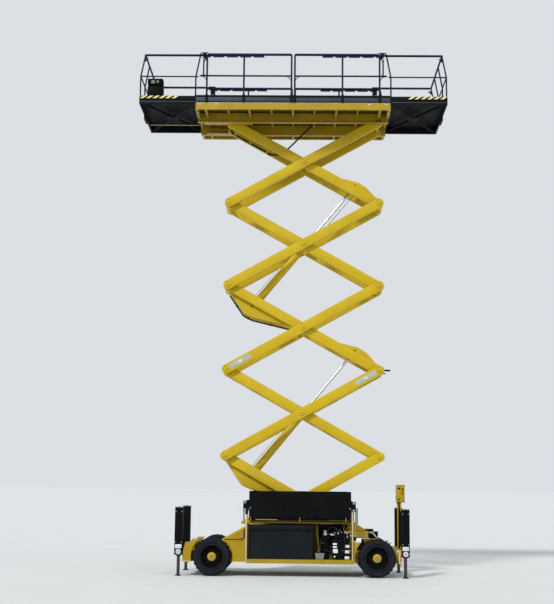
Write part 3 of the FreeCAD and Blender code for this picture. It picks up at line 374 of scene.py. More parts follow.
def hexagon(at, along, across=0.024, high=0.01):
    """A hexagon bolt head with its washer."""
    part = turned([(0, 0), (across * 0.85, 0), (across * 0.85, high * 0.2), (0, high * 0.2)], sides=16)
    head = bmesh.new()
    bmesh.ops.create_cone(head, cap_ends=True, segments=6, radius1=across * 0.577, radius2=across * 0.577,
                          depth=high)
    rounded(head, [e for e in head.edges if e.verts[0].co.z > 0 and e.verts[1].co.z > 0], high * 0.15, 1)
    join(part, head, Matrix.Translation((0, 0, high * 0.7)))
    return stand_up(part, at, along)


# %% [markdown]
# The machine is alike on both sides and nearly alike at both ends, so most parts are listed once, in
# short tables for the far side, and joined again as mirror images.

# %% Helpers for tables of parts
MIRROR_Y = Matrix.Diagonal((1, -1, 1, 1))
MIRROR_X = Matrix.Diagonal((-1, 1, 1, 1))
FAR = (Matrix.Identity(4),)
NEAR = (MIRROR_Y,)
BOTH = FAR + NEAR
MIRRORED_END = (MIRROR_X, MIRROR_X @ MIRROR_Y)
FOUR = BOTH + MIRRORED_END
SIDES = (("near", NEAR), ("far", FAR))
ACROSS = (0, 1, 0)


def repeat(piece, part, turns):
    """Joins a part once for each matrix."""
    for turn in turns:
        join(piece, part.copy(), turn)
    part.free()


def blocks(rows, turns, edge=0.003, piece=None):
    """Rounded blocks from rows of X, Y and Z ranges."""
    piece = piece or bmesh.new()
    for x0, x1, y0, y1, z0, z1 in rows:
        repeat(piece, block((x0, y0, z0), (x1, y1, z1), edge), turns)
    return piece


def bars(rows, turns, sides=12, piece=None):
    """Round bars from rows of start, end and radius."""
    piece = piece or bmesh.new()
    for ax, ay, az, bx, by, bz, radius in rows:
        repeat(piece, bar((ax, ay, az), (bx, by, bz), radius, sides), turns)
    return piece


def bolts(places, along, turns, across=0.024, high=0.01, piece=None):
    """Bolt heads at places, their axes along a direction."""
    piece = piece or bmesh.new()
    for place in places:
        repeat(piece, hexagon(place, along, across, high), turns)
    return piece


def tube(points, radius, bend=0.06, sides=10):
    """A hose or pipe through points, its corners swept round."""
    points = [Vector(p) for p in points]
    line = [points[0]]
    for a, b, c in zip(points, points[1:], points[2:]):
        reach = min(bend, (a - b).length * 0.45, (c - b).length * 0.45)
        start, end = b + (a - b).normalized() * reach, b + (c - b).normalized() * reach
        for i in range(7):
            t = i / 6
            line.append(start.lerp(b, t).lerp(b.lerp(end, t), t))
    line.append(points[-1])
    places = []
    across = (line[1] - line[0]).orthogonal().normalized()
    for i, here in enumerate(line):
        ahead = (line[min(i + 1, len(line) - 1)] - line[max(i - 1, 0)]).normalized()
        across = (across - ahead * across.dot(ahead)).normalized()
        axes = Matrix((across, ahead.cross(across), ahead)).transposed().to_4x4()
        places.append(Matrix.Translation(here) @ axes)
    part = bmesh.new()
    bmesh.ops.create_circle(part, segments=sides, radius=radius, matrix=places[0])
    ring = part.edges[:]
    bmesh.ops.edgeloop_fill(part, edges=ring)
    for before, after in zip(places, places[1:]):
        grown = bmesh.ops.extrude_edge_only(part, edges=ring)["geom"]
        ring = [g for g in grown if isinstance(g, bmesh.types.BMEdge) and g.is_boundary]
        bmesh.ops.transform(part, matrix=after @ before.inverted(),
                            verts=[g for g in grown if isinstance(g, bmesh.types.BMVert)])
    bmesh.ops.edgeloop_fill(part, edges=ring)
    bmesh.ops.recalc_face_normals(part, faces=part.faces)
    return part


def arc_band(x, z, r0, r1, start, end, y0, y1, steps=20):
    """A flat curved band about a point, between two radii and two angles from +X."""
    def arc(r, angles):
        return [(x + r * math.cos(math.radians(t)), z + r * math.sin(math.radians(t))) for t in angles]

    angles = [start + (end - start) * i / steps for i in range(steps + 1)]
    return flat_plate(arc(r0, angles) + arc(r1, angles[::-1]), y0, y1, edge=0.0)


# %% [markdown]
# A finished part becomes an object with one material, smooth where it is round and sharp where it is
# folded. It then rides on a body of the frame, so it moves when that body moves. Where it stands for a
# solid of the frame, that solid is hidden.

# %% Helper that finishes a piece
# the finishes of each slot; only the wheels' steel says its slot in the call
SLOTS = {
    "yellow_enamel": (yellow, low_yellow, ochre, cream, shaded, plate_yellow, red_button, orange_lens),
    "dark_enamel": (black, navy, rail_paint, brown, casting, deck_plate),
    "grey_enamel": (slate, grey_green, strip_grey, rust_red, plate_white, plate_blue, pale_blue_grey,
                    white_lens),
    "chrome_rod": (zinc, copper, leg_chrome),
    "hose_rubber": (hose_rubber,),
    "tyre_rubber": (tread_rubber, scuffed_and_lit_rubber),
}
# an edge that folds by more degrees than this stays sharp
FOLD_ANGLE = 38
made = []


def finish_piece(name, shape, material, body="chassis", replaces=(), slot=None):
    """Makes an object of a shape, gives it its finish, and lets it ride on a body."""
    mesh = bpy.data.meshes.new(name)
    shape.to_mesh(mesh)
    shape.free()
    mesh.materials.append(material)
    mesh.shade_smooth()
    mesh.set_sharp_from_angle(angle=math.radians(FOLD_ANGLE))
    piece = bpy.data.objects.new(name, mesh)
    bpy.context.scene.collection.objects.link(piece)
    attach(piece, body)
    slot = slot or next(kind for kind, finishes in SLOTS.items() if material in finishes)
    if replaces:
        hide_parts(*replaces)
    made.append(piece)


def pivot(name):
    """The place of a joint at rest."""
    return Vector(next(j for j in frame["joints"] if j["name"] == name)["pos_m"])


def arm_place(pair, stage):
    """Where the middle of an arm pair is at rest, and how it is turned."""
    crossing = pivot(f"crossing_{stage}")
    right_pin = pivot("lift" if stage == 1 else f"knee_{stage}")
    slope = math.atan2(crossing.z - right_pin.z, right_pin.x - crossing.x)
    return Matrix.Translation(crossing) @ Matrix.Rotation(slope if pair == "inner" else -slope, 4, "Y")


# %% [markdown]
# ## Floor, light and camera
#
# The lift stands on a plain pale floor that runs out to the horizon. A broad sun from the front left and
# a pale sky light it evenly, so that paint shows about as it is written. The camera stands low and far
# away, as the photographer did, with the tall machine filling a narrow frame.

# %% Floor, lights and camera
def pale_floor():
    """Smooth pale concrete, faintly cloudy."""
    material, tree, place = start_material("pale_smooth_concrete")
    cloud = add(tree, "TexNoise", {"Vector": place, "Scale": 0.7, "Detail": 6.0}).outputs["Fac"]
    colour = add(tree, "Mix", {0: cloud, 6: linear("#D3D5D4"), 7: linear("#DDDFDE")},
                 data_type="RGBA").outputs[2]
    surface(tree, {"Base Color": colour, "Roughness": 0.85})
    return material


floor_shape = bmesh.new()
bmesh.ops.create_grid(floor_shape, x_segments=2, y_segments=2, size=900.0)
floor_mesh = bpy.data.meshes.new("floor")
floor_shape.to_mesh(floor_mesh)
floor_shape.free()
floor_mesh.materials.append(pale_floor())
floor = bpy.data.objects.new("floor", floor_mesh)
bpy.context.scene.collection.objects.link(floor)
floor.location.z = -0.0005

world = bpy.data.worlds.new("pale_sky")
world.use_nodes = True
sky = world.node_tree
sky.nodes.clear()
path = add(sky, "LightPath")
seen = add(sky, "Math", {0: path.outputs["Is Camera Ray"], 1: path.outputs["Is Glossy Ray"]},
           operation="MAXIMUM")
shown = add(sky, "Math", {0: seen.outputs[0], 1: path.outputs["Is Transmission Ray"]}, operation="MAXIMUM")
backdrop = add(sky, "Background", {"Color": linear("#E4E8EC"), "Strength": 0.92})
daylight = add(sky, "Background", {"Color": linear("#E9EEF4"), "Strength": 0.62})
blend = add(sky, "MixShader", {0: shown.outputs[0], 1: daylight.outputs[0], 2: backdrop.outputs[0]})
add(sky, "OutputWorld", {"Surface": blend.outputs[0]})
bpy.context.scene.world = world

# columns: name, rotation in degrees, strength, apparent size in degrees
LAMPS = (
    ("sun_front_left", (48, 0, -32), 2.3, 9),
    ("fill_from_right", (62, 0, 62), 0.45, 40),
)
for name, turn, strength, size in LAMPS:
    lamp = bpy.data.lights.new(name, "SUN")
    lamp.energy = strength
    lamp.angle = math.radians(size)
    lamp_object = bpy.data.objects.new(name, lamp)
    lamp_object.rotation_euler = [math.radians(a) for a in turn]
    bpy.context.scene.collection.objects.link(lamp_object)

bpy.context.scene.view_settings.view_transform = "Standard"

CAMERA_AT = (0.1962, -28.5593, 2.0942)
RIGHT = Vector((0.99977775, 0.01801191, 0.01095515))
FORWARD = Vector((-0.01954075, 0.98677765, 0.16089757))
UP = Vector((-0.00791223, -0.16107588, 0.98691031))
camera_data = bpy.data.cameras.new("camera")
camera_data.lens = 67.727
camera_data.sensor_width = 36.0
camera_data.clip_end = 3000.0
camera = bpy.data.objects.new("camera", camera_data)
axes = Matrix((RIGHT, UP, -FORWARD)).transposed().to_4x4()
camera.matrix_world = Matrix.Translation(CAMERA_AT) @ axes
bpy.context.scene.collection.objects.link(camera)
bpy.context.scene.camera = camera

# %% [markdown]
# ## Paint on the solids that stay
#
# Many solids of the frame already have the right shape, such as rails, beams and boxes. They only need
# their finish, which is set by what the part is on the real machine, and a small radius on their edges,
# as rolled and folded steel has. The chassis, its frames and the side blocks take darker copies of the
# arms' yellow, which is painted shade.

# %% Materials and edge radii on the frame's own nodes
# columns: how a node's name starts, its finish, the radius of its edges
# painted shade: the chassis, the frames and the side blocks take darker copies of the arms' yellow
FINISHES = (
    ("tyre", tread_rubber, 0), ("rim", black, 0), ("rod_", chrome, 0), ("jack_leg", leg_chrome, 0),
    ("jack_housing", black, 0.01), ("cover", black, 0.005), ("battery", slate, 0.014),
    ("tank_far", slate, 0.014),
    ("hydraulic_unit", black, 0.01), ("console", black, 0.01), ("main_deck", navy, 0.003),
    ("deck_extension", navy, 0.003), ("main_rails", rail_paint, 0), ("rails_extension", rail_paint, 0),
    ("knuckle", casting, 0.004), ("steer_axle", casting, 0.006), ("rigid_axle", casting, 0.006),
    ("track_rod", casting, 0), ("platform_frame", ochre, 0.003), ("platform_hose", hose_rubber, 0),
    ("hose_arm", hose_rubber, 0), ("body_pods", low_yellow, 0.01), ("control_post", low_yellow, 0.008),
    ("bay_frames", low_yellow, 0.004), ("side_brackets", side_yellow, 0.004),
    ("chassis_frame", ochre, 0.004), ("scissor_base", ochre, 0.003), ("", yellow, 0.004),
)
for name, node in frame["nodes"].items():
    finish, radius = next(row[1:] for row in FINISHES if name.startswith(row[0]))
    node.data.materials.clear()
    node.data.materials.append(finish)
    if radius:
        weld = node.modifiers.new("weld", "WELD")
        weld.merge_threshold = 1e-5
        bevel = node.modifiers.new("edges", "BEVEL")
        bevel.width = radius
        bevel.segments = 2
        bevel.limit_method = "ANGLE"
        bevel.angle_limit = math.radians(40)
        bevel.use_clamp_overlap = True
print("nodes painted:", len(frame["nodes"]))

# %% [markdown]
# ## Wheels
#
# The tyres are rough-terrain tyres on dark disc wheels, with a yellow hub in the middle. A tyre is a
# carcass turned in one piece, with three rings on its sidewall, and two staggered rows of blocks that
# run from the groove in the middle of the tread out over each shoulder. The blocks are few and large,
# so each is a real block with rounded edges.

# %% Carcass, blocks, rim and hub
BLOCKS, BLOCK_WIDE, GROOVE = 24, 0.062, 0.016

# half of the tyre's section: radius, distance from the middle
SIDEWALL = ((0.2755, 0.128), (0.2755, 0.149), (0.284, 0.158), (0.292, 0.149), (0.306, 0.15), (0.314, 0.163),
            (0.322, 0.15), (0.338, 0.153), (0.347, 0.17), (0.356, 0.156), (0.372, 0.159), (0.381, 0.176),
            (0.39, 0.169), (0.4285, 0.112), (0.43, 0.104), (0.43, 0.0))
CARCASS = SIDEWALL + tuple((r, -y) for r, y in SIDEWALL[-2::-1]) + SIDEWALL[:1]
# crests rubbed grey and lightened as painted highlight for light on the ridges, on the bead and on the two
# outer rings: radius, distance from the middle
SCUFFED_AND_LIT_CRESTS = ((0.288, 0.159), (0.347, 0.17), (0.381, 0.176))
# a block's outline: distance from the middle, radius
BLOCK_SIDE = ((GROOVE / 2, 0.42), (GROOVE / 2, 0.4488), (0.11, 0.4488), (0.172, 0.396), (0.158, 0.385))


def tread_block(side):
    """One block at the top of the wheel, from the groove out over a shoulder."""
    part = bmesh.new()
    part.faces.new([part.verts.new((-BLOCK_WIDE / 2, side * y, r)) for y, r in BLOCK_SIDE])
    thicken(part, (BLOCK_WIDE, 0, 0))
    bmesh.ops.recalc_face_normals(part, faces=part.faces)
    rounded(part, [e for e in part.edges if max(v.co.z for v in e.verts) > 0.39], 0.004)
    return part


def around(count, radius, shift=0.0):
    """Points spread evenly round the axle, as X and Z."""
    angles = [2 * math.pi * (k + shift) / count for k in range(count)]
    return [(radius * math.cos(a), radius * math.sin(a)) for a in angles]


AXLE_TURN = Matrix.Rotation(-math.pi / 2, 4, "X")
HUB_BOLTS = around(6, 0.046)
WHEEL_NUTS = around(10, 0.18, 0.5)

# rim: radius, distance outwards from the wheel's middle
RIM = ((0.0, 0.06), (0.15, 0.06), (0.165, 0.066), (0.205, 0.05), (0.232, 0.052), (0.246, 0.066),
       (0.25, 0.12), (0.262, 0.142), (0.2745, 0.146), (0.2745, 0.152), (0.268, 0.154), (0.256, 0.148),
       (0.252, 0.146), (0.262, 0.15), (0.264, 0.13), (0.264, -0.14), (0.2745, -0.148), (0.262, -0.15),
       (0.24, -0.14), (0.236, 0.03), (0.0, 0.03))
HUB = ((0.0, 0.148), (0.03, 0.148), (0.034, 0.142), (0.058, 0.14), (0.064, 0.132), (0.096, 0.122),
       (0.104, 0.112), (0.105, 0.058), (0.0, 0.058))
HUB_RING = ((0.064, 0.1335), (0.066, 0.1395), (0.074, 0.1385), (0.078, 0.1285), (0.064, 0.1335))

for end in ("rigid", "steer"):
    for name, turn in SIDES:
        at = f"{end}_{name}"
        body = f"wheel_{at}"
        stand = Matrix.Translation(pivot(f"spin_{at}"))
        place = stand @ turn[0]
        tyre = bmesh.new()
        join(tyre, turned(CARCASS, sides=72), stand @ AXLE_TURN)
        step = 2 * math.pi / BLOCKS
        for k in range(BLOCKS):
            join(tyre, tread_block(1), stand @ Matrix.Rotation(k * step, 4, "Y"))
            join(tyre, tread_block(-1), stand @ Matrix.Rotation((k + 0.5) * step, 4, "Y"))
        finish_piece(f"tyre_dressed_{at}", tyre, tread_rubber, body, [f"tyre_{at}"])
        lit_scuffs = bmesh.new()
        for r, out in SCUFFED_AND_LIT_CRESTS:
            crest = [(r - 0.006, out - 0.007), (r - 0.003, out + 0.0008), (r + 0.003, out + 0.0008),
                     (r + 0.006, out - 0.007)]
            join(lit_scuffs, turned(crest + crest[:1], sides=72), place @ AXLE_TURN)
        finish_piece(f"tyre_lit_scuffs_{at}", lit_scuffs, scuffed_and_lit_rubber, body)
        rim = bmesh.new()
        join(rim, turned(RIM, sides=48), place @ AXLE_TURN)
        finish_piece(f"rim_dressed_{at}", rim, black, body, [f"rim_{at}"], slot="wheel_steel")
        hub = bmesh.new()
        join(hub, turned(HUB, sides=40), place @ AXLE_TURN)
        for x, z in HUB_BOLTS:
            join(hub, hexagon((x, 0.14, z), ACROSS, 0.015, 0.008), place)
        finish_piece(f"hub_{at}", hub, low_yellow, body)
        ring = bmesh.new()
        join(ring, turned(HUB_RING, sides=40), place @ AXLE_TURN)
        finish_piece(f"hub_ring_{at}", ring, cream, body)
        nuts = bmesh.new()
        for x, z in WHEEL_NUTS:
            join(nuts, bar((x, 0.058, z), (x, 0.084, z), 0.01, 10, 0.001), place)
            join(nuts, hexagon((x, 0.058, z), ACROSS, 0.027, 0.018), place)
        finish_piece(f"wheel_nuts_{at}", nuts, casting, body, slot="wheel_steel")

# %% [markdown]
# ## Scissor arms
#
# Each stage has two pairs of arms, cut from rectangular tube with rounded corners and closed with round
# ends. A stadium-shaped face is the quickest start: a circle whose halves are pulled apart, given its
# thickness, with its rim bevelled like the tube's corners. Bosses, pins and their yellow caps are turned
# parts, and the cylinders' triangular plates are flat plates with rounded corners.

# %% Sizes of the arms
ARM_HALF, ARM_R, PIN_R, SLEEVE_R = 2.178, 0.12, 0.03, 0.047
OUTER_Y, INNER_Y = (0.36, 0.455), (0.245, 0.345)
STAGES = 5
LOWER_PLATE = ((-0.72, -0.02), (-0.1, 0.29), (0.14, 0.275), (1.15, -0.01), (1.15, -0.06), (-0.72, -0.06))
UPPER_PLATE = ((-0.54, -0.02), (0.034, 0.141), (0.3, 0.128), (0.72, -0.03), (0.72, -0.06), (-0.54, -0.06))
PIN_ALONG, PIN_OFF = 1.4, 0.15


def arm_tube(y0, y1):
    """A box-section arm with round ends, along X with its middle at the origin."""
    part = bmesh.new()
    bmesh.ops.create_circle(part, cap_ends=True, segments=40, radius=ARM_R)
    bmesh.ops.transform(part, matrix=Matrix.Rotation(math.pi / 40, 4, "Z"), verts=part.verts)
    for sign in (-1, 1):
        bmesh.ops.translate(part, vec=(sign * ARM_HALF, 0, 0),
                            verts=[v for v in part.verts if v.co.x * sign > 0])
    bmesh.ops.transform(part, matrix=Matrix.Rotation(math.pi / 2, 4, "X"), verts=part.verts)
    bmesh.ops.translate(part, vec=(0, y0, 0), verts=part.verts)
    thicken(part, (0, y1 - y0, 0))
    rounded(part, [e for e in part.edges if abs(e.verts[0].co.y - e.verts[1].co.y) < 1e-6], 0.011, 3)
    bmesh.ops.recalc_face_normals(part, faces=part.faces)
    return part


def both_sides(piece, part, place):
    """Joins a part made on the far side, and its mirror image on the near side."""
    twin = part.copy()
    join(piece, part, place)
    join(piece, twin, place @ MIRROR_Y)


def weld_ring(x, z, y, radius):
    """The raised bead round a boss that is welded to an arm's face."""
    part = bmesh.new()
    bmesh.ops.create_circle(part, segments=8, radius=0.006)
    outwards = Matrix.Translation((radius, 0, 0)) @ Matrix.Rotation(math.pi / 2, 4, "X")
    bmesh.ops.transform(part, matrix=outwards, verts=part.verts)
    lathe(part, 36)
    bmesh.ops.transform(part, matrix=Matrix.Translation((x, y, z)) @ Matrix.Rotation(-math.pi / 2, 4, "X"),
                        verts=part.verts)
    return part


# pin cap: radius, height above the arm's face
CAP = ((0.0, 0.026), (0.026, 0.026), (0.03, 0.022), (0.05, 0.021), (0.056, 0.016), (0.058, 0.01),
       (0.074, 0.008), (0.077, 0.004), (0.077, -0.004), (0.0, -0.004))


def cylinder_plate(outline, sign):
    """The plate on an inner arm that holds a cylinder's pin, and the pin's boss."""
    points = [(sign * PIN_ALONG + dx, sign * (ARM_R + out)) for dx, out in outline]
    part = flat_plate(points, 0.198, 0.238, corner=0.03, edge=0.004)
    root = [(points[0][0], sign * (ARM_R - 0.025)), (points[3][0], sign * (ARM_R - 0.025)),
            (points[3][0], sign * (ARM_R - 0.06)), (points[0][0], sign * (ARM_R - 0.06))]
    join(part, flat_plate(root, 0.236, 0.247, edge=0.002))
    join(part, turned([(0, 0.118), (0.068, 0.118), (0.075, 0.125), (0.075, 0.2), (0, 0.2)],
                      (sign * PIN_ALONG, 0, sign * PIN_OFF), ACROSS))
    return part


# %% [markdown]
# The outer pair rises to the right and the inner pair to the left. Pins at the ends and the crossing
# join the stages, and each pin has a cap with a small lug that keeps it from turning.

# %% Arms of every stage
for stage in range(1, STAGES + 1):
    down_right, up_right = arm_place("inner", stage), arm_place("outer", stage)
    last = stage == STAGES
    has_shaft = stage in (1, 3)

    outer = bmesh.new()
    both_sides(outer, arm_tube(*OUTER_Y), up_right)
    reach_right = 0.5 if last else OUTER_Y[1]
    reach_left = 0.535 if stage == 1 else OUTER_Y[1]
    join(outer, bar((ARM_HALF, -reach_right, 0), (ARM_HALF, reach_right, 0), PIN_R, 24, 0.003), up_right)
    join(outer, bar((-ARM_HALF, -reach_left, 0), (-ARM_HALF, reach_left, 0), PIN_R, 24, 0.003), up_right)
    if has_shaft:
        join(outer, bar((0, -OUTER_Y[1], 0), (0, OUTER_Y[1], 0), PIN_R, 24), up_right)
    else:
        both_sides(outer, bar((0, INNER_Y[0], 0), (0, OUTER_Y[1], 0), PIN_R, 24), up_right)
    for x in (-ARM_HALF, 0, ARM_HALF):
        if (x > 0 and last) or (x < 0 and stage == 1):
            continue
        both_sides(outer, turned(CAP, (x, OUTER_Y[1], 0), ACROSS), up_right)
        both_sides(outer, weld_ring(x, 0, OUTER_Y[1] + 0.001, 0.08), up_right)
        both_sides(outer, block((x - 0.02, OUTER_Y[1], 0.055), (x + 0.02, OUTER_Y[1] + 0.014, 0.104), 0.003),
                   up_right)
    if stage == 1:
        both_sides(outer, turned([(0, 0), (0.05, 0), (0.05, 0.06), (0, 0.06)], (-ARM_HALF, 0.475, 0),
                                 ACROSS), up_right)
    finish_piece(f"arm_pair_outer_{stage}", outer, yellow, f"arms_outer_{stage}", [f"arms_outer_{stage}"])

    inner = bmesh.new()
    both_sides(inner, arm_tube(*INNER_Y), down_right)
    for x in (-ARM_HALF, ARM_HALF):
        if x < 0 and last:
            join(inner, bar((x, -0.47, 0), (x, 0.47, 0), PIN_R, 24, 0.003), down_right)
            both_sides(inner, turned([(0, 0.36), (0.047, 0.36), (0.05, 0.363), (0.05, 0.467), (0.047, 0.47),
                                      (0, 0.47)], (x, 0, 0), ACROSS), down_right)
        else:
            join(inner, bar((x, -INNER_Y[0], 0), (x, INNER_Y[0], 0), SLEEVE_R, 32), down_right)
            both_sides(inner, weld_ring(x, 0, INNER_Y[0], 0.049), down_right)
    if has_shaft:
        join(inner, bar((0, -INNER_Y[0], 0), (0, INNER_Y[0], 0), SLEEVE_R, 32), down_right)
        both_sides(inner, weld_ring(0, 0, INNER_Y[0], 0.049), down_right)
        both_sides(inner, cylinder_plate(LOWER_PLATE, -1), down_right)
        join(inner, bar((-PIN_ALONG, -0.238, -PIN_OFF), (-PIN_ALONG, 0.238, -PIN_OFF), PIN_R, 24), down_right)
    if stage in (3, 5):
        both_sides(inner, cylinder_plate(UPPER_PLATE, 1), down_right)
        both_sides(inner, bar((PIN_ALONG, 0.056, PIN_OFF), (PIN_ALONG, 0.238, PIN_OFF), PIN_R, 24),
                   down_right)
    if last:
        for x in (-1.95, -1.5, -1.0):
            join(inner, block((x - 0.02, -0.236, -0.22), (x + 0.02, -0.226, -0.075), 0.002), down_right)
            join(inner, block((x - 0.02, -0.246, -0.115), (x + 0.02, -0.235, -0.075), 0.002), down_right)
    finish_piece(f"arm_pair_inner_{stage}", inner, yellow, f"arms_inner_{stage}", [f"arms_inner_{stage}"])

# %% [markdown]
# ## Fittings on the arms
#
# The arms carry blank strips near two of the pivots, a pair of black pegs beyond one, yellow grease
# nipples on the pins, and black hoses along the lower edge of the cylinders' lower plates.

# %% Strips, pegs, nipples and hoses on the arms
FACE = OUTER_Y[1]
# columns: outer pair's stage, start and end along the arm, start and end across it
STRIPS = ((3, -2.08, -1.5, -0.05, 0.06), (2, 1.5, 2.08, -0.06, 0.05))
for stage, x0, x1, z0, z1 in STRIPS:
    strip = blocks(((x0, x1, FACE, FACE + 0.002, z0, z1),), [arm_place("outer", stage) @ MIRROR_Y], 0.0005)
    finish_piece(f"blank_strip_{stage}", strip, pale_blue_grey, f"arms_outer_{stage}")
    square = blocks(((x0 + 0.25, x0 + 0.33, FACE, FACE + 0.004, z0 + 0.02, z1 - 0.02),),
                    [arm_place("outer", stage) @ MIRROR_Y], 0.0005)
    finish_piece(f"blank_square_{stage}", square, plate_white, f"arms_outer_{stage}")

dashes = blocks([(x, x + 0.085, FACE, FACE + 0.002, 0.03, 0.04) for x in (0.62, 0.76, 0.9, 1.04, 1.18)],
                [arm_place("outer", 5) @ MIRROR_Y], 0.0005)
finish_piece("dashed_line_5", dashes, cream, "arms_outer_5")

level = Matrix.Translation(pivot("knee_3")) @ MIRROR_Y
pegs = bars(((0.08, 0.4, 0.0, 0.27, 0.4, 0.0, 0.022), (0.08, 0.4, -0.08, 0.15, 0.4, -0.08, 0.012)), [level],
            16)
finish_piece("pegs_2", pegs, black, "arms_outer_2")

for stage in range(1, STAGES + 1):
    nipples = bmesh.new()
    for x in (-ARM_HALF, 0, ARM_HALF):
        if (x > 0 and stage == STAGES) or (x < 0 and stage == 1):
            continue
        tip = turned([(0, 0.018), (0.005, 0.018), (0.006, 0.012), (0.01, 0.01), (0.01, 0), (0, 0)],
                     (x, FACE + 0.024, 0), ACROSS, 12)
        repeat(nipples, tip, [arm_place("outer", stage) @ turn for turn in BOTH])
        keeper = [(x - 0.01, FACE + 0.013, 0.078), (x + 0.01, FACE + 0.013, 0.078)]
        bolts(keeper, ACROSS, [arm_place("outer", stage) @ turn for turn in BOTH], 0.013, 0.007, nipples)
    finish_piece(f"pin_fittings_{stage}", nipples, low_yellow, f"arms_outer_{stage}")

# columns: along the arm, to the side, across it
ARM_HOSE = ((-2.1, -0.206, -0.125), (-2.04, -0.206, -0.2), (-0.89, -0.206, -0.2))
sleeve = bmesh.new()
repeat(sleeve, tube(ARM_HOSE, 0.024, 0.06), [arm_place("inner", STAGES)])
finish_piece("arm_hose_sleeve", sleeve, hose_rubber, "arms_inner_5")
# the hose under the platform: X and Z
HANGING_HOSE = ((-0.64, 10.582), (-0.382, 10.567), (-0.125, 10.729), (0.542, 11.431))
hanging = tube([(x, -0.175, z) for x, z in HANGING_HOSE], 0.021, 0.13)
finish_piece("hanging_hose_sleeve", hanging, hose_rubber, "platform_hose")

# columns: along the arm, across it
PLATE_HOSE = ((-2.08, -0.145), (-1.508, -0.433), (-1.252, -0.418), (-0.344, -0.16), (-0.27, -0.139))
for stage in (1, 3):
    hose_piece = bmesh.new()
    tuck = 0.022 if stage == 1 else 0.0
    repeat(hose_piece, tube([(x, 0.218, z + tuck) for x, z in PLATE_HOSE], 0.02, 0.05),
           [arm_place("inner", stage)])
    finish_piece(f"plate_hose_{stage}", hose_piece, hose_rubber, f"arms_inner_{stage}")
    clips = blocks([(x - 0.015, x + 0.015, 0.194, 0.242, z - 0.024 + tuck, z + 0.03 + tuck) for x,
                    z in ((-1.78, -0.297), (-1.38, -0.426), (-0.8, -0.29))], [arm_place("inner", stage)],
                   0.003)
    finish_piece(f"plate_hose_clips_{stage}", clips, black, f"arms_inner_{stage}")

# %% [markdown]
# ## Lift cylinders
#
# A barrel is a rolled tube with weld seams, a head with a gland nut, and two ports joined by a steel
# pipe. Its fittings are turned rings a few millimetres proud of the tube.

# %% Seams, heads, pipes and ports on the cylinders
LOWER_EYE, UPPER_EYE = Vector((-0.9927, 0, 2.3402)), Vector((1.5959, 0, 5.495))
CYLINDER_ALONG = (UPPER_EYE - LOWER_EYE).normalized()
CYLINDER_DOWN = Vector((CYLINDER_ALONG.z, 0, -CYLINDER_ALONG.x))
BARREL_R = 0.092
# columns: start and end along the barrel, how far it stands out
BARREL_RINGS = ((0.075, 0.11, 0.006), (0.79, 0.802, 0.003), (1.48, 1.492, 0.003), (2.12, 2.2, 0.005),
                (2.196, 2.212, -0.012))
for name, stage in (("lower", 1), ("upper", 3)):
    base = pivot(f"barrel_{name}_pivot")

    def on_axis(along, below=0.0, y=0.0):
        """A point at a distance along the cylinder, below it and to its side."""
        return base + CYLINDER_ALONG * along + CYLINDER_DOWN * below + Vector((0, y, 0))

    rings = bmesh.new()
    for start, stop, proud in BARREL_RINGS:
        r = BARREL_R + proud
        profile = [(0.06, start), (r - 0.002, start), (r, start + 0.002), (r, stop - 0.002),
                   (r - 0.002, stop), (0.06, stop)]
        join(rings, turned(profile + profile[:1], base, CYLINDER_ALONG, 40))
    finish_piece(f"barrel_rings_{name}", rings, yellow, f"barrel_{name}")
    ports = bmesh.new()
    for along in (0.2, 2.06):
        join(ports, bar(on_axis(along, -0.085), on_axis(along, -0.118), 0.02, 16, 0.002))
        join(ports, bar(on_axis(along, -0.112), on_axis(along, -0.124), 0.014, 6))
    join(ports, tube([on_axis(0.2, -0.118), on_axis(0.2, -0.135), on_axis(0.26, -0.135),
                      on_axis(2.0, -0.135), on_axis(2.06, -0.135), on_axis(2.06, -0.118)], 0.007, 0.03, 8))
    finish_piece(f"barrel_pipe_{name}", ports, yellow, f"barrel_{name}")
    wiper = turned([(0.039, 2.196), (0.06, 2.196), (0.06, 2.222), (0.052, 2.232), (0.039, 2.232),
                    (0.039, 2.196)], base, CYLINDER_ALONG, 40)
    finish_piece(f"rod_wiper_{name}", wiper, black, f"barrel_{name}")
    rod_end = bmesh.new()
    join(rod_end, turned([(0.0385, 3.9), (0.048, 3.9), (0.052, 3.904), (0.052, 4.02), (0.0385, 4.02),
                          (0.0385, 3.9)], base, CYLINDER_ALONG, 40))
    join(rod_end, turned([(0.03, 0.0), (0.064, 0.0), (0.066, 0.002), (0.066, 0.098), (0.064, 0.1),
                          (0.03, 0.1), (0.03, 0.0)], on_axis(4.081, 0, -0.05), ACROSS, 40))
    finish_piece(f"rod_eye_{name}", rod_end, yellow, f"rod_{name}")
line = bmesh.new()
join(line, tube([on_axis(4.0, 0.05), on_axis(3.94, 0.112), on_axis(3.86, 0.112), on_axis(2.42, 0.112)],
                0.006, 0.04, 8))
finish_piece("rod_line_upper", line, hose_rubber, "rod_upper")

# %% [markdown]
# ## Stabiliser jacks
#
# Each jack is a square housing with a cap, a collar where the leg comes out, a blank plate and a round
# reflector low on its outer face. The leg is chromed and stands on a dark foot.

# %% Housings' fittings and the legs
JACK_Y = 0.945
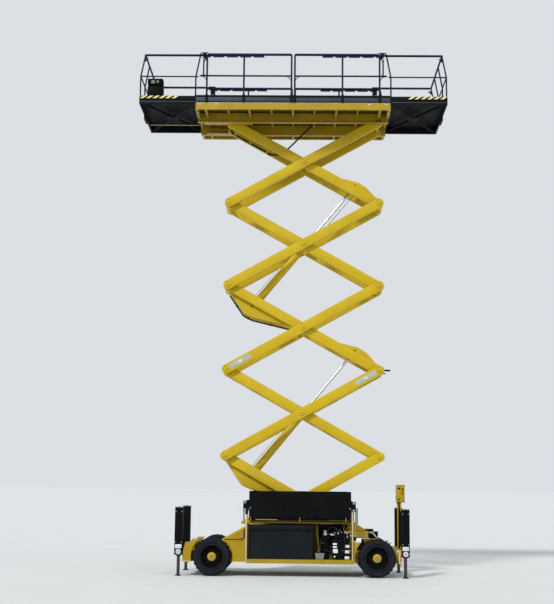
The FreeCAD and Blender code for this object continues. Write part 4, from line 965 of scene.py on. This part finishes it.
# columns: end, middle X
JACKS = (("left", -2.63), ("right", 2.765))
for end, x in JACKS:
    for name, turn in SIDES:
        at = f"{end}_{name}"
        cap = blocks(((x - 0.1, x + 0.1, 0.845, 1.045, 1.594, 1.606),), turn, 0.003)
        blocks(((x - 0.02, x + 0.02, 0.925, 0.965, 1.604, 1.622),), turn, 0.003, cap)
        finish_piece(f"jack_cap_{at}", cap, grey_green)
        collar = bmesh.new()
        repeat(collar, turned([(0.0395, 0), (0.062, 0), (0.066, 0.004), (0.066, 0.026), (0.0395, 0.026),
                               (0.0395, 0)], (x, JACK_Y, 0.466)), turn)
        blocks(((x - 0.099, x + 0.099, 0.846, 1.044, 0.49, 0.502),), turn, 0.002, collar)
        finish_piece(f"jack_collar_{at}", collar, black)
        screws = bolts([(x + dx, 1.0405, z) for dx in (-0.072, 0.072) for z in (1.5, 0.78)], ACROSS, turn,
                       0.015, 0.006)
        bolts([(x + dx, JACK_Y + dy, 1.605) for dx in (-0.075, 0.075) for dy in (-0.075, 0.075)], (0, 0, 1),
              turn, 0.016, 0.008, screws)
        finish_piece(f"jack_screws_{at}", screws, zinc)
        plate = blocks(((x - 0.076, x + 0.076, 1.0395, 1.0425, 0.64, 0.73),), turn, 0.0008)
        finish_piece(f"jack_plate_{at}", plate, plate_white)
        band = blocks(((x - 0.066, x + 0.066, 1.042, 1.0435, 0.672, 0.698),), turn, 0.0005)
        finish_piece(f"jack_plate_band_{at}", band, plate_blue)
        disc = bmesh.new()
        repeat(disc, turned([(0, 0.012), (0.05, 0.012), (0.062, 0.008), (0.064, 0), (0, 0)], (x, 1.04, 0.56),
                            ACROSS, 40), turn)
        finish_piece(f"jack_reflector_{at}", disc, white_lens)
        rivet = bmesh.new()
        repeat(rivet, turned([(0, 0.015), (0.018, 0.014), (0.022, 0.01), (0, 0.01)], (x, 1.04, 0.56), ACROSS,
                             20), turn)
        finish_piece(f"jack_reflector_rivet_{at}", rivet, zinc)
        leg = bmesh.new()
        repeat(leg, turned([(0, 1.12), (0.036, 1.12), (0.038, 1.116), (0.038, 0.026), (0, 0.026)],
                           (x, JACK_Y, 0), sides=40), turn)
        finish_piece(f"leg_{at}", leg, leg_chrome, f"jack_leg_{at}", [f"jack_leg_{at}"])
        foot = bmesh.new()
        repeat(foot, turned([(0, 0.0), (0.073, 0.0), (0.075, 0.002), (0.075, 0.015), (0.072, 0.018),
                             (0.056, 0.02), (0.046, 0.026), (0.039, 0.03), (0, 0.03)], (x, JACK_Y, 0),
                            sides=40), turn)
        finish_piece(f"foot_{at}", foot, black, f"jack_leg_{at}")

# %% [markdown]
# ## Body panels and posts
#
# The pods round the fixed wheels are folded sheet with a rolled lip round each arch and a pale, worn
# flange along the bottom; pale strips on the tops of their steps are painted highlight. The posts of the
# side bays carry black brackets and pale strips of painted highlight, with dark strips of painted shade
# beside them, and a grey tube stands behind each of them. A red-brown seam runs between the gusset and
# the pod below it.

# %% Lips, flanges, seams and tubes on the body
RIGID_X, STEER_X, AXLE_Z = -1.837, 2.093, 0.45
lips = bmesh.new()
for start, stop in ((-13, 48.5), (131.5, 193)):
    repeat(lips, arc_band(RIGID_X, AXLE_Z, 0.498, 0.512, start, stop, 0.984, 1.005), BOTH)
blocks(((-2.47, -2.34, 0.992, 1.004, 0.766, 0.778), (-2.335, -2.166, 0.992, 1.004, 0.817, 0.829),
        (-1.508, -1.02, 0.992, 1.004, 0.817, 0.829)), BOTH, 0.003, lips)
finish_piece("pod_lips", lips, low_yellow)
# columns: X, Y and Z ranges; the first two rows are worn bottom flanges, the last two pale strips on the
# steps' tops that are painted highlight
FLANGES = ((-2.53, -2.33, 0.985, 1.005, 0.33, 0.352), (-1.345, -1.045, 0.985, 1.005, 0.33, 0.348),
           (-2.47, -2.345, 0.94, 1.0, 0.776, 0.781), (-2.33, -2.17, 0.93, 1.0, 0.828, 0.833))
finish_piece("pod_flanges_and_highlights", blocks(FLANGES, BOTH), cream)
seam = bars(((-1.56, 0.99, 0.858, -1.1, 0.99, 0.862, 0.013),), BOTH)
blocks(((-1.52, -1.1, 0.996, 1.006, 0.849, 0.871),), BOTH, 0.003, seam)
finish_piece("pod_seam", seam, rust_red)
# a fitting at the seam's end, on the near and the far side
fitting = bmesh.new()
repeat(fitting, turned([(0, 0.05), (0.018, 0.05), (0.022, 0.044), (0.022, 0.02), (0.034, 0.016), (0.034, 0),
                        (0, 0)], (-1.12, 1.0, 0.905), ACROSS, 6), BOTH)
finish_piece("seam_fittings", fitting, copper)
# painted highlight: pale strips on the posts' edges stand in for the light on them; columns: X, Y and Z
# ranges
POST_FLANGE_HIGHLIGHTS = ((-1.042, -1.004, 0.985, 1.006, 0.332, 1.64), (1.492, 1.52, 0.985, 1.006, 0.405, 1.56))
finish_piece("post_flange_highlights", blocks(POST_FLANGE_HIGHLIGHTS, BOTH, 0.004), cream)
# painted shade: dark strips in the slot beside the left post, in the shade behind it, and beside the right
# post
POST_SHADE_STRIPS = ((-1.084, -1.052, 0.998, 1.004, 0.885, 1.11), (-1.001, -0.952, 0.962, 1.003, 0.41, 1.244),
              (1.522, 1.538, 0.985, 1.004, 1.32, 1.56))
finish_piece("post_painted_shade", blocks(POST_SHADE_STRIPS, BOTH, 0.003), brown)
BRACKETS = ((-1.104, -0.972, 1.0, 1.012, 1.53, 1.772), (-1.05, -0.99, 1.0, 1.009, 1.45, 1.54),
            (1.484, 1.585, 1.0, 1.012, 1.53, 1.772), (-1.104, -0.98, 0.955, 1.002, 1.6, 1.64),
            (1.49, 1.585, 0.955, 1.002, 1.6, 1.64))
finish_piece("post_brackets", blocks(BRACKETS, BOTH, 0.004), black)
heads = bolts([(x, 1.011, z) for x in (-1.064, 1.538) for z in (1.735, 1.563)], ACROSS, BOTH, 0.034, 0.016)
finish_piece("bracket_bolts", heads, zinc)
tubes = bmesh.new()
for x, radius, low in ((-1.085, 0.018, 1.27), (1.602, 0.034, 1.18)):
    repeat(tubes, turned([(0, 0.44), (radius - 0.004, 0.44), (radius, 0.436), (radius, 0.004),
                          (radius - 0.004, 0), (0, 0)], (x, 0.975, low), sides=24), BOTH)
finish_piece("standing_tubes", tubes, grey_green)
pegs = bmesh.new()
repeat(pegs, flat_plate([(-1.145, 1.226), (-1.02, 1.226), (-1.02, 1.33), (-1.042, 1.33), (-1.075, 1.288),
                         (-1.145, 1.288)], 0.955, 1.004, 0.0, 0.003), BOTH)
repeat(pegs, flat_plate([(1.53, 1.3), (1.545, 1.3), (1.64, 1.225), (1.64, 1.185), (1.53, 1.185)], 0.955,
                        0.99, 0.0, 0.003), BOTH)
finish_piece("tube_pegs", pegs, low_yellow)

# %% [markdown]
# The bay's top beam lies in the shade of the raised cover; its face is painted dark ochre and black
# strips above it stand in for that shade. Round the steered wheel there are an arch plate, a white lamp,
# a guard with its fittings, and the bolts of the yellow block.

# %% Bay beam, steered wheel's arch and lamp
# painted shade: black strips along the top of the beam and behind it, where the raised cover throws its
# shadow
BEAM_SHADE_STRIPS = ((-0.945, 1.48, 1.0, 1.0035, 1.289, 1.318), (-0.963, 1.475, 0.955, 0.966, 1.318, 1.388))
finish_piece("beam_painted_shade", blocks(BEAM_SHADE_STRIPS, BOTH, 0.001), black)
# painted shade: the beam's face and top in dark ochre
BEAM_FACE = ((-0.945, 1.48, 1.0, 1.0035, 1.248, 1.288), (-0.945, 1.48, 0.967, 1.0, 1.3185, 1.3215))
beam_face = blocks(BEAM_FACE, BOTH, 0.001)
blocks(((0.94, 1.44, 0.972, 0.998, 1.318, 1.336),), BOTH, 0.003, beam_face)
finish_piece("beam_faces", beam_face, shaded)
wedge = bmesh.new()
repeat(wedge, flat_plate([(-0.83, 1.318), (-0.79, 1.34), (-0.29, 1.34), (-0.29, 1.318)], 0.972, 0.998, 0.0,
                         0.003), BOTH)
finish_piece("beam_wedges", wedge, low_yellow)
# painted shadow: a dark line between the gusset and the block above the steered wheel
line = blocks(((1.522, 1.866, 0.994, 1.002, 1.085, 1.096),), BOTH, 0.002)
finish_piece("bracket_painted_shadow_lines", line, brown)
arch = bmesh.new()
ARCH_R = 0.53
outline = [(STEER_X - ARCH_R * math.cos(math.radians(t)), AXLE_Z + ARCH_R * math.sin(math.radians(t)))
           for t in range(-10, 50, 5)]
repeat(arch, flat_plate([(1.531, 0.36)] + outline + [(1.531, outline[-1][1])], 0.984, 0.998, 0.0, 0.002),
       BOTH)
blocks(((1.531, 1.552, 0.9, 0.998, 0.42, 0.84),), BOTH, 0.003, arch)
finish_piece("steered_arch_plates", arch, ochre)
lamp_box = blocks(((1.59, 1.724, 0.94, 0.99, 0.812, 0.934), (1.716, 1.77, 0.93, 0.96, 0.82, 0.93)), BOTH,
                  0.006)
finish_piece("arch_lamp_boxes", lamp_box, black)
lens = blocks(((1.598, 1.716, 0.985, 1.004, 0.82, 0.926),), BOTH, 0.008)
finish_piece("arch_lamp_lenses", lens, plate_white)
GUARD = ((1.884, 2.12, 0.84, 0.86, 0.91, 1.08), (1.87, 1.9, 0.84, 0.98, 0.96, 1.07))
finish_piece("arch_guards", blocks(GUARD, BOTH), black)
fittings = bmesh.new()
for ax, az, bx, bz, radius in ((1.88, 1.052, 2.0, 1.052, 0.02), (1.99, 1.04, 2.06, 0.96, 0.022),
                               (2.04, 0.962, 2.12, 0.93, 0.018), (1.72, 0.93, 1.905, 0.915, 0.014),
                               (1.545, 0.88, 1.545, 0.76, 0.02), (1.56, 0.8, 1.6, 0.74, 0.022)):
    bars(((ax, 0.905, az, bx, 0.905, bz, radius),), BOTH, 12, fittings)
blocks(((1.722, 1.905, 0.965, 0.985, 0.905, 0.932),), BOTH, 0.004, fittings)
finish_piece("arch_fittings", fittings, zinc)
bracket = blocks(((2.425, 2.445, 0.42, 0.45, 0.568, 0.815), (2.425, 2.445, 0.42, 0.5, 0.795, 0.815)), BOTH)
finish_piece("rear_lamp_brackets", bracket, black)
finish_piece("rear_lamps", blocks(((2.395, 2.47, 0.48, 0.52, 0.785, 0.825),), BOTH, 0.01), plate_white)
frame_bolts = bolts([(x, 0.999, z) for x in (1.575, 1.835) for z in (0.975, 1.06)], ACROSS, BOTH, 0.022, 0.01)
bolts([(x, 0.999, 0.36) for x in (-0.9, -0.3, 0.3, 0.9, 1.4)], ACROSS, BOTH, 0.02, 0.009, frame_bolts)
bolts([(2.669, y, z) for y in (0.1, 0.3, 0.76) for z in (0.38, 0.6)], (1, 0, 0), BOTH, 0.026, 0.012,
      frame_bolts)
finish_piece("frame_bolts", frame_bolts, zinc)

# %% [markdown]
# ## Inside the bays
#
# The battery box has a lid with a shadow gap, latches and a handle. Beside it the near bay is open and
# shows the hydraulic power unit: motor, pump, tank, valves with their coils, and hoses between them.

# %% Battery boxes
lid = blocks(((-0.962, 0.573, 0.614, 0.966, 1.098, 1.206),), BOTH, 0.014)
blocks(((-0.959, 0.57, 0.617, 0.963, 0.412, 0.44),), BOTH, 0.006, lid)
finish_piece("battery_lids", lid, slate)
gap = blocks(((-0.958, 0.569, 0.618, 0.9625, 1.062, 1.092),), BOTH, 0.002)
finish_piece("battery_lid_gaps", gap, black)
latches = blocks([(x - 0.022, x + 0.022, 0.962, 0.974, 1.04, 1.135) for x in (-0.72, 0.33)], BOTH, 0.004)
HANDLE = ((-0.265, 0.985, 1.01, -0.125, 0.985, 1.01, 0.007),
          (-0.265, 0.96, 1.01, -0.265, 0.985, 1.01, 0.007), (-0.125, 0.96, 1.01, -0.125, 0.985, 1.01, 0.007))
bars(HANDLE, BOTH, 10, latches)
finish_piece("battery_latches", latches, casting)

# %% Hydraulic power unit's fittings
# X of the valves' coils
VALVES = (1.13, 1.215, 1.3)
# painted shade: the curved plate and the upright beside the battery are dark ochre, for the shade inside the
# bay
divider = bmesh.new()
curve = [(0.645 + 0.09 * (k / 10) ** 2, 1.245 - 0.083 * k) for k in range(11)]
repeat(divider, flat_plate(curve + [(x + 0.042, z) for x, z in curve[::-1]], 0.905, 0.925, 0.0, 0.0), BOTH)
blocks(((0.572, 0.668, 0.64, 0.655, 0.41, 1.245),), BOTH, 0.004, divider)
finish_piece("bay_dividers_painted_shade", divider, shaded)
tray = bmesh.new()
repeat(tray, flat_plate([(0.642, 0.409), (0.818, 0.409), (0.838, 0.54), (0.844, 0.544), (0.844, 0.558),
                         (0.616, 0.558), (0.616, 0.544), (0.622, 0.54)], 0.898, 0.955, 0.0, 0.005), NEAR)
finish_piece("drip_tray", tray, grey_green)
unit = bmesh.new()
# cooling ribs of the motor: how many, height of the first, pitch
RIBS, RIB_Z, RIB_PITCH = 14, 0.44, 0.031
for z in [RIB_Z + k * RIB_PITCH for k in range(RIBS)]:
    repeat(unit, turned([(0.094, 0), (0.101, 0.002), (0.101, 0.01), (0.094, 0.012), (0.094, 0)],
                        (0.86, 0.8, z)), NEAR)
blocks(((0.955, 1.03, 0.76, 0.84, 0.56, 0.72), (1.09, 1.16, 0.86, 0.9, 0.88, 0.99),
        (1.33, 1.372, 0.65, 0.7, 0.41, 1.24), (1.0, 1.3, 0.59, 0.68, 1.03, 1.235),
        (0.8, 0.92, 0.862, 0.89, 0.93, 1.0), (1.195, 1.235, 0.862, 0.895, 0.9, 0.985),
        (0.672, 1.0, 0.622, 0.66, 0.96, 1.235), (0.7, 0.79, 0.66, 0.7, 0.43, 0.96)), NEAR, 0.006, unit)
for x in VALVES:
    repeat(unit, turned([(0, 0.105), (0.022, 0.105), (0.026, 0.1), (0.026, 0.018), (0.034, 0.014),
                         (0.034, 0), (0, 0)], (x, 0.78, 1.0), sides=20), NEAR)
finish_piece("power_unit_parts", unit, black)
tank_rim = blocks(((1.034, 1.446, 0.634, 0.906, 0.846, 0.866),), NEAR, 0.004)
repeat(tank_rim, turned([(0, 0.05), (0.04, 0.05), (0.046, 0.044), (0.046, 0.012), (0.036, 0.01), (0.036, 0),
                         (0, 0)], (1.405, 0.85, 0.866), sides=20), NEAR)
finish_piece("tank_rim", tank_rim, slate)
bright = bmesh.new()
repeat(bright, turned([(0, 0.03), (0.036, 0.03), (0.042, 0.024), (0.046, 0.004), (0.046, 0), (0, 0)],
                      (0.86, 0.8, 1.06), sides=28), NEAR)
repeat(bright, turned([(0, 0.022), (0.038, 0.022), (0.043, 0.016), (0.043, 0), (0, 0)], (0.862, 0.88, 1.01),
                      ACROSS, 28), NEAR)
for x, z, radius in ((0.96, 1.0, 0.015), (1.18, 1.08, 0.014), (1.235, 1.07, 0.016), (0.8, 0.8, 0.016),
                     (1.27, 0.62, 0.014)):
    repeat(bright, turned([(0, 0.04), (radius * 0.6, 0.04), (radius, 0.03), (radius, 0), (0, 0)],
                          (x, 0.885, z), ACROSS, 6), NEAR)
for x in VALVES:
    repeat(bright, turned([(0, 0.016), (0.012, 0.016), (0.014, 0.012), (0.014, 0), (0, 0)], (x, 0.78, 1.105),
                          sides=12), NEAR)
finish_piece("power_unit_caps", bright, zinc)
valve = bars(((1.32, 0.93, 1.052, 1.492, 0.93, 1.052, 0.026), (1.31, 0.93, 1.052, 1.345, 0.93, 1.052, 0.036),
              (1.44, 0.93, 1.052, 1.465, 0.93, 1.052, 0.034)), NEAR, 20)
finish_piece("relief_valve", valve, copper)
# columns: X and Z ranges of a blank plate, on the tank's front
PLATES = ((1.045, 1.14, 0.752, 0.794), (1.045, 1.138, 0.684, 0.724), (1.043, 1.16, 0.565, 0.655),
          (1.335, 1.436, 0.69, 0.755), (1.335, 1.436, 0.56, 0.632), (1.325, 1.436, 0.42, 0.49))
plates = blocks([(x0, x1, 0.9005, 0.904, z0, z1) for x0, x1, z0, z1 in PLATES], NEAR, 0.001)
repeat(plates, turned([(0, 0.006), (0.018, 0.006), (0.021, 0), (0, 0)], (1.085, 0.9, 0.478), ACROSS, 24),
       NEAR)
finish_piece("tank_plates", plates, plate_white)
hoses = bmesh.new()
# rows of points, then the hose's radius
BAY_HOSES = (
    (((0.9, 0.86, 1.02), (0.96, 0.9, 1.15), (1.06, 0.9, 1.18), (1.13, 0.86, 1.09), (1.13, 0.84, 0.99)),
     0.014),
    (((0.84, 0.86, 0.93), (0.76, 0.93, 0.9), (0.74, 0.93, 0.64), (0.98, 0.93, 0.6), (1.04, 0.895, 0.62)),
     0.016),
    (((1.215, 0.8, 1.08), (1.25, 0.83, 1.19), (1.38, 0.85, 1.2), (1.42, 0.85, 1.06), (1.4, 0.85, 0.92)),
     0.013),
    (((1.3, 0.86, 0.96), (1.33, 0.935, 0.9), (1.32, 0.935, 0.7), (1.25, 0.935, 0.52), (1.24, 0.895, 0.47)),
     0.014),
    (((0.7, 0.62, 1.23), (0.86, 0.64, 1.12), (1.06, 0.65, 1.0), (1.3, 0.64, 0.95), (1.45, 0.64, 1.0)), 0.02),
    (((0.69, 0.68, 1.235), (0.8, 0.7, 1.18), (0.94, 0.7, 1.14), (1.2, 0.69, 1.18), (1.46, 0.7, 1.21)), 0.018),
)
for points, radius in BAY_HOSES:
    repeat(hoses, tube(points, radius, 0.09), NEAR)
finish_piece("bay_hoses", hoses, hose_rubber)
far_tank = blocks(((0.634, 1.446, 0.634, 0.926, 0.886, 0.908),), FAR, 0.004)
repeat(far_tank, turned([(0, 0.06), (0.05, 0.06), (0.056, 0.052), (0.056, 0.014), (0.044, 0.01), (0.044, 0),
                         (0, 0)], (1.3, 0.8, 0.908), sides=28), FAR)
repeat(far_tank, tube([(0.7, 0.85, 0.905), (0.7, 0.85, 1.05), (0.9, 0.8, 1.12), (1.2, 0.66, 1.15)], 0.018,
                      0.08), FAR)
finish_piece("far_tank_rim", far_tank, slate)
gauge = blocks(((0.72, 0.75, 0.92, 0.932, 0.52, 0.8),), FAR, 0.005)
finish_piece("far_tank_gauge", gauge, plate_white)

# %% [markdown]
# ## Covers
#
# A raised cover shows its inner side: a pressed rim all round, two stiffening ribs, a lock in the
# middle, and the two bolts where its stays hold it.

# %% Rims, ribs, locks and hinge strips on the covers
COVER_RIM = ((-0.963, 1.475, 1.0, 1.003, 1.402, 1.42), (-0.963, 1.475, 1.0, 1.003, 1.985, 2.003),
             (-0.963, -0.945, 1.0, 1.003, 1.402, 2.003), (1.457, 1.475, 1.0, 1.003, 1.402, 2.003),
             (-0.16, -0.12, 1.0, 1.003, 1.42, 1.985), (0.64, 0.68, 1.0, 1.003, 1.42, 1.985))
HINGE_STRIP = ((-0.963, 1.475, 0.974, 0.985, 1.352, 1.396),)
for name, turn in SIDES:
    rim = blocks(COVER_RIM, turn, 0.001)
    blocks(HINGE_STRIP, turn, 0.002, rim)
    blocks(((0.18, 0.33, 0.95, 0.976, 1.93, 1.975), (-0.963, 1.475, 0.914, 0.918, 1.968, 1.984)), turn,
           0.001, rim)
    finish_piece(f"cover_rim_{name}", rim, black, f"cover_{name}")
    lock = bolts([(x, 0.9995, 1.605) for x in (-0.935, 1.447)], ACROSS, turn, 0.02, 0.0035)
    finish_piece(f"cover_bolts_{name}", lock, zinc, f"cover_{name}")

# %% [markdown]
# ## Ground controls
#
# The control box has a hinged door under a rain lip, with a key switch, a stop button and small blank
# plates. The post is an open channel, so it shows a bright flange and a dark cable duct beside it.

# %% Door, switches, duct and reflector
door = blocks(((2.56, 2.746, 0.9585, 0.966, 1.79, 2.15), (2.548, 2.758, 0.9585, 0.975, 2.16, 2.184),
               (2.576, 2.604, 0.903, 0.912, 0.725, 1.77), (2.648, 2.672, 0.868, 0.905, 1.56, 1.776)), NEAR,
              0.004)
finish_piece("control_door", door, low_yellow)
duct = blocks(((2.606, 2.642, 0.903, 0.91, 0.725, 1.765), (2.57, 2.576, 0.88, 0.907, 0.725, 1.765),
               (2.552, 2.558, 0.958, 0.97, 1.86, 1.9), (2.552, 2.558, 0.958, 0.97, 2.06, 2.1),
               (2.59, 2.65, 0.9655, 0.968, 2.075, 2.12), (2.675, 2.725, 0.9655, 0.968, 1.96, 1.985),
               (2.59, 2.64, 0.9655, 0.968, 1.82, 1.85), (2.55, 2.76, 0.945, 0.958, 1.768, 1.78)), NEAR, 0.001)
repeat(duct, turned([(0, 0.022), (0.012, 0.022), (0.014, 0.018), (0.014, 0.004), (0.02, 0), (0, 0)],
                    (2.7, 0.966, 2.09), ACROSS, 20), NEAR)
finish_piece("control_duct", duct, black)
stop = bmesh.new()
repeat(stop, turned([(0, 0.034), (0.014, 0.033), (0.019, 0.028), (0.019, 0.018), (0.01, 0.016), (0.01, 0),
                     (0, 0)], (2.7, 0.966, 2.04), ACROSS, 24), NEAR)
finish_piece("control_stop", stop, red_button)
side_plates = blocks(((2.56, 2.648, 0.9995, 1.003, 0.59, 0.655),), BOTH, 0.001)
blocks(((2.6, 2.668, 0.998, 1.006, 0.34, 0.585),), BOTH, 0.002, side_plates)
finish_piece("end_plate_trims", side_plates, cream)
amber = blocks(((2.634, 2.666, 1.005, 1.013, 0.38, 0.565),), BOTH, 0.003)
finish_piece("side_reflectors", amber, orange_lens)

# %% [markdown]
# ## Platform
#
# The deck's edge is a dark channel over a blue-grey one, with a pale line of painted highlight where it
# meets the yellow frame. Sockets carry the rail posts. The ends of the toe boards have slanted hazard
# stripes. Seen from below, the frame has a dark ochre sheet of painted shade under the deck, black
# bushings at its ears, and pale edges rubbed by the rollers.

# %% Deck edges, sockets and the frame's trims
edge_dark = blocks(((-2.438, 2.438, 1.2695, 1.2745, 11.737, 11.797),), BOTH, 0.001)
# X of the posts' sockets
SOCKETS = (-2.172, -1.24, -0.042, 0.042, 1.24, 2.172)
for x in SOCKETS:
    blocks(((x - 0.03, x + 0.03, 1.2695, 1.292, 11.606, 11.799),), BOTH, 0.004, edge_dark)
finish_piece("deck_edge_dark", edge_dark, navy, "platform")
finish_piece("deck_edge_grey", blocks(((-2.438, 2.438, 1.2695, 1.2735, 11.632, 11.736),), BOTH, 0.001),
             strip_grey, "platform")
socket_bolts = bolts([(x, 1.292, z) for x in SOCKETS for z in (11.64, 11.765)], ACROSS, BOTH, 0.022, 0.01)
finish_piece("socket_bolts", socket_bolts, casting, "platform")
# partly painted highlight: the first row is a pale line along the frame's top for the light on it; the others
# are pale edges rubbed by the rollers
pale = blocks(((-2.436, 2.436, 1.2695, 1.2735, 11.59, 11.603), (2.432, 2.444, 0.6, 1.268, 11.427, 11.434),
               (-2.444, -2.432, 0.6, 1.268, 11.427, 11.434)), BOTH, 0.001)
blocks(((1.878, 1.955, 1.268, 1.282, 11.536, 11.58), (2.29, 2.39, 1.268, 1.276, 11.545, 11.575)), FOUR,
       0.003, pale)
finish_piece("frame_pale_edges_and_highlight", pale, cream, "platform")
# painted shade: a thin dark ochre sheet under the deck stands in for the shade beneath the platform
under = blocks(((-2.375, 2.375, 0.592, 1.208, 11.5765, 11.5795),
                (-2.375, 2.375, 0.0, 0.483, 11.5765, 11.5795)), BOTH, 0.0)
finish_piece("frame_painted_shade_sheet", under, shaded, "platform")
bushing = bmesh.new()
repeat(bushing, turned([(0.031, 0), (0.056, 0), (0.056, 0.01), (0.05, 0.014), (0.031, 0.014), (0.031, 0)],
                       (2.201, 0.5, 11.37875), ACROSS), BOTH)
for x, y in ((-2.41, 0.8), (-2.41, 1.08), (2.41, 0.8), (2.41, 1.08)):
    repeat(bushing, turned([(0, 0.003), (0.018, 0.003), (0.02, 0), (0, 0)], (x, y, 11.4297), (0, 0, -1), 20),
           BOTH)
finish_piece("frame_bushings", bushing, black, "platform")
floor_sheet = blocks(((-0.948, 0.948, 0.0, 1.205, 11.7945, 11.797),
                      (0.952, 2.43, 0.0, 1.135, 11.7945, 11.797),
                      (-2.43, -0.952, 0.0, 1.135, 11.7945, 11.797)), BOTH, 0.001)
finish_piece("floor_tread_plates", floor_sheet, deck_plate, "platform")

# %% Ends of the deck extensions
STRIPE_PITCH, STRIPE_WIDE, STRIPE_LEAN = 0.16, 0.088, 0.1
for name, sign, stripes in (("left", -1, (-3.87, -2.868)), ("right", 1, (2.874, 3.87))):
    body = "extension_" + name
    low, high = sorted((sign * 2.45, sign * 3.872))
    board = blocks(((stripes[0], stripes[1], 1.209, 1.212, 11.728, 11.7975),
                    (low, high, 1.209, 1.2115, 11.7, 11.724)), BOTH, 0.0005)
    blocks(((low, high, 1.209, 1.2135, 11.592, 11.625),), BOTH, 0.002, board)
    for y in (-1.1, 1.1):
        repeat(board, bar((sign * 2.5, y, 11.63), (sign * 3.78, -y, 11.63), 0.034, 8), FAR)
    repeat(board, turned([(0, 0.01), (0.15, 0.01), (0.16, 0.004), (0.16, 0), (0, 0)], (sign * 3.14, 0, 11.6),
                         (0, 0, 1), 8), FAR)
    finish_piece("toe_board_trims_" + name, board, black, body)
    ledge = blocks(((low, high, 1.209, 1.213, 11.63, 11.65),), BOTH, 0.001)
    finish_piece("toe_board_ledge_" + name, ledge, strip_grey, body)
    stripe = bmesh.new()
    x = stripes[0] + 0.01
    while x + STRIPE_WIDE + STRIPE_LEAN < stripes[1] + 0.004:
        outline = [(x, 11.73), (x + STRIPE_WIDE, 11.73), (x + STRIPE_WIDE + STRIPE_LEAN, 11.796),
                   (x + STRIPE_LEAN, 11.796)]
        repeat(stripe, flat_plate(outline, 1.2118, 1.2134, 0.0, 0.0), BOTH)
        x += STRIPE_PITCH
    if sign < 0:
        repeat(stripe, flat_plate([(-3.87, 11.771), (-3.832, 11.796), (-3.87, 11.796)], 1.2118, 1.2134, 0.0,
                                  0.0), BOTH)
    finish_piece("hazard_stripes_" + name, stripe, plate_yellow, body)
    pad_low, pad_high = sorted((sign * 3.828, sign * 3.872))
    pads = blocks(((pad_low, pad_high, -0.3, 0.12, 11.48, 11.592),), FAR, 0.01)
    finish_piece("end_pad_" + name, pads, hose_rubber, body)
    sheet_low, sheet_high = sorted((sign * 2.47, sign * 3.85))
    sheet = blocks(((sheet_low, sheet_high, 0.0, 1.148, 11.7645, 11.767),), BOTH, 0.001)
    finish_piece("extension_tread_plate_" + name, sheet, deck_plate, body)
conduit = blocks(((-3.82, -2.48, 0.535, 0.56, 11.592, 11.606),), FAR, 0.004)
finish_piece("extension_conduit", conduit, cream, "extension_left")

# %% [markdown]
# ## Guard rails and console
#
# The rails are dark blue-black tube. Their joints have weld collars, the sliding rails run through clamps
# on the main rails, and a drop latch at each end holds them. The console on the left extension has a
# hooded body with a joystick, a stop button and small blank plates.

# %% Clamps, latches, collars and sleeves on the rails
RAIL_SLEEVES = (
    (-2.25, 1.245, 12.87575, -0.052, 1.245, 12.87575, 0.031),
    (0.052, 1.245, 12.87575, 2.25, 1.245, 12.87575, 0.031),
    (-2.172, 1.245, 12.31275, -0.042, 1.245, 12.31275, 0.021),
    (0.042, 1.245, 12.31275, 2.172, 1.245, 12.31275, 0.021),
)
sleeves = bars(RAIL_SLEEVES, BOTH, 14)
bars([(x, 1.245, 11.8, x, 1.245, 12.86, 0.0235) for x in SOCKETS], BOTH, 14, sleeves)
finish_piece("rail_sleeves", sleeves, rail_paint, "platform")
clamps = blocks(((2.147, 2.33, 1.212, 1.276, 12.836, 12.925), (2.147, 2.33, 1.232, 1.262, 12.29, 12.335)),
                FOUR, 0.006)
repeat(clamps, flat_plate([(2.185, 12.7), (2.275, 12.7), (2.275, 12.84), (2.185, 12.84)], 1.236, 1.254,
                          0.012, 0.003), FOUR)
for x in SOCKETS:
    repeat(clamps, turned([(0.0235, 0.036), (0.03, 0.032), (0.036, 0.012), (0.04, 0), (0.0235, 0)],
                          (x, 1.245, 11.798), (0, 0, 1), 16), BOTH)
finish_piece("rail_clamps", clamps, navy, "platform")
latch = bars(((2.2, 1.262, 12.7, 2.3, 1.262, 12.8, 0.012), (2.2, 1.245, 12.7, 2.2, 1.27, 12.7, 0.016)), FOUR)
bolts([(x, 1.276, 12.88) for x in (2.175, 2.3)], ACROSS, FOUR, 0.022, 0.01, latch)
finish_piece("rail_latches", latch, zinc, "platform")
for name, sign in (("left", -1), ("right", 1)):
    turns = BOTH if sign > 0 else MIRRORED_END
    gusset = bmesh.new()
    repeat(gusset, flat_plate([(3.655, 12.8), (3.76, 12.8), (3.775, 12.7), (3.745, 12.7)], 1.176, 1.184, 0.0,
                              0.002), turns)
    bars(((2.362, 1.18, 12.87575, 3.747, 1.18, 12.87575, 0.0285),), turns, 14, gusset)
    finish_piece("extension_rail_gussets_" + name, gusset, rail_paint, "extension_" + name)

# %% Console's body, joystick and buttons
hood = blocks(((-3.69, -3.292, -1.092, -0.885, 11.824, 12.09),
               (-3.684, -3.3, -1.122, -0.884, 12.118, 12.276), (-3.64, -3.6, -1.06, -1.03, 12.276, 12.284)),
              FAR, 0.014)
for x in (-3.56, -3.42):
    repeat(hood, turned([(0, 0.044), (0.012, 0.042), (0.018, 0.03), (0.008, 0.02), (0.012, 0.006),
                         (0.026, 0), (0, 0)], (x, -1.0, 12.246), sides=16), FAR)
finish_piece("console_hood", hood, black, "extension_left")
front = blocks(((-3.59, -3.5, -1.125, -1.121, 12.15, 12.245), (-3.46, -3.4, -1.125, -1.121, 12.17, 12.23)),
               FAR, 0.001)
finish_piece("console_plates", front, grey_green, "extension_left")
knob = bmesh.new()
repeat(knob, turned([(0, 0.022), (0.013, 0.021), (0.018, 0.015), (0.018, 0.008), (0.009, 0.006), (0.009, 0),
                     (0, 0)], (-3.345, -1.0, 12.268), sides=20), FAR)
finish_piece("console_stop", knob, red_button, "extension_left")

# %% Count the pieces made
print("pieces made:", len(made))
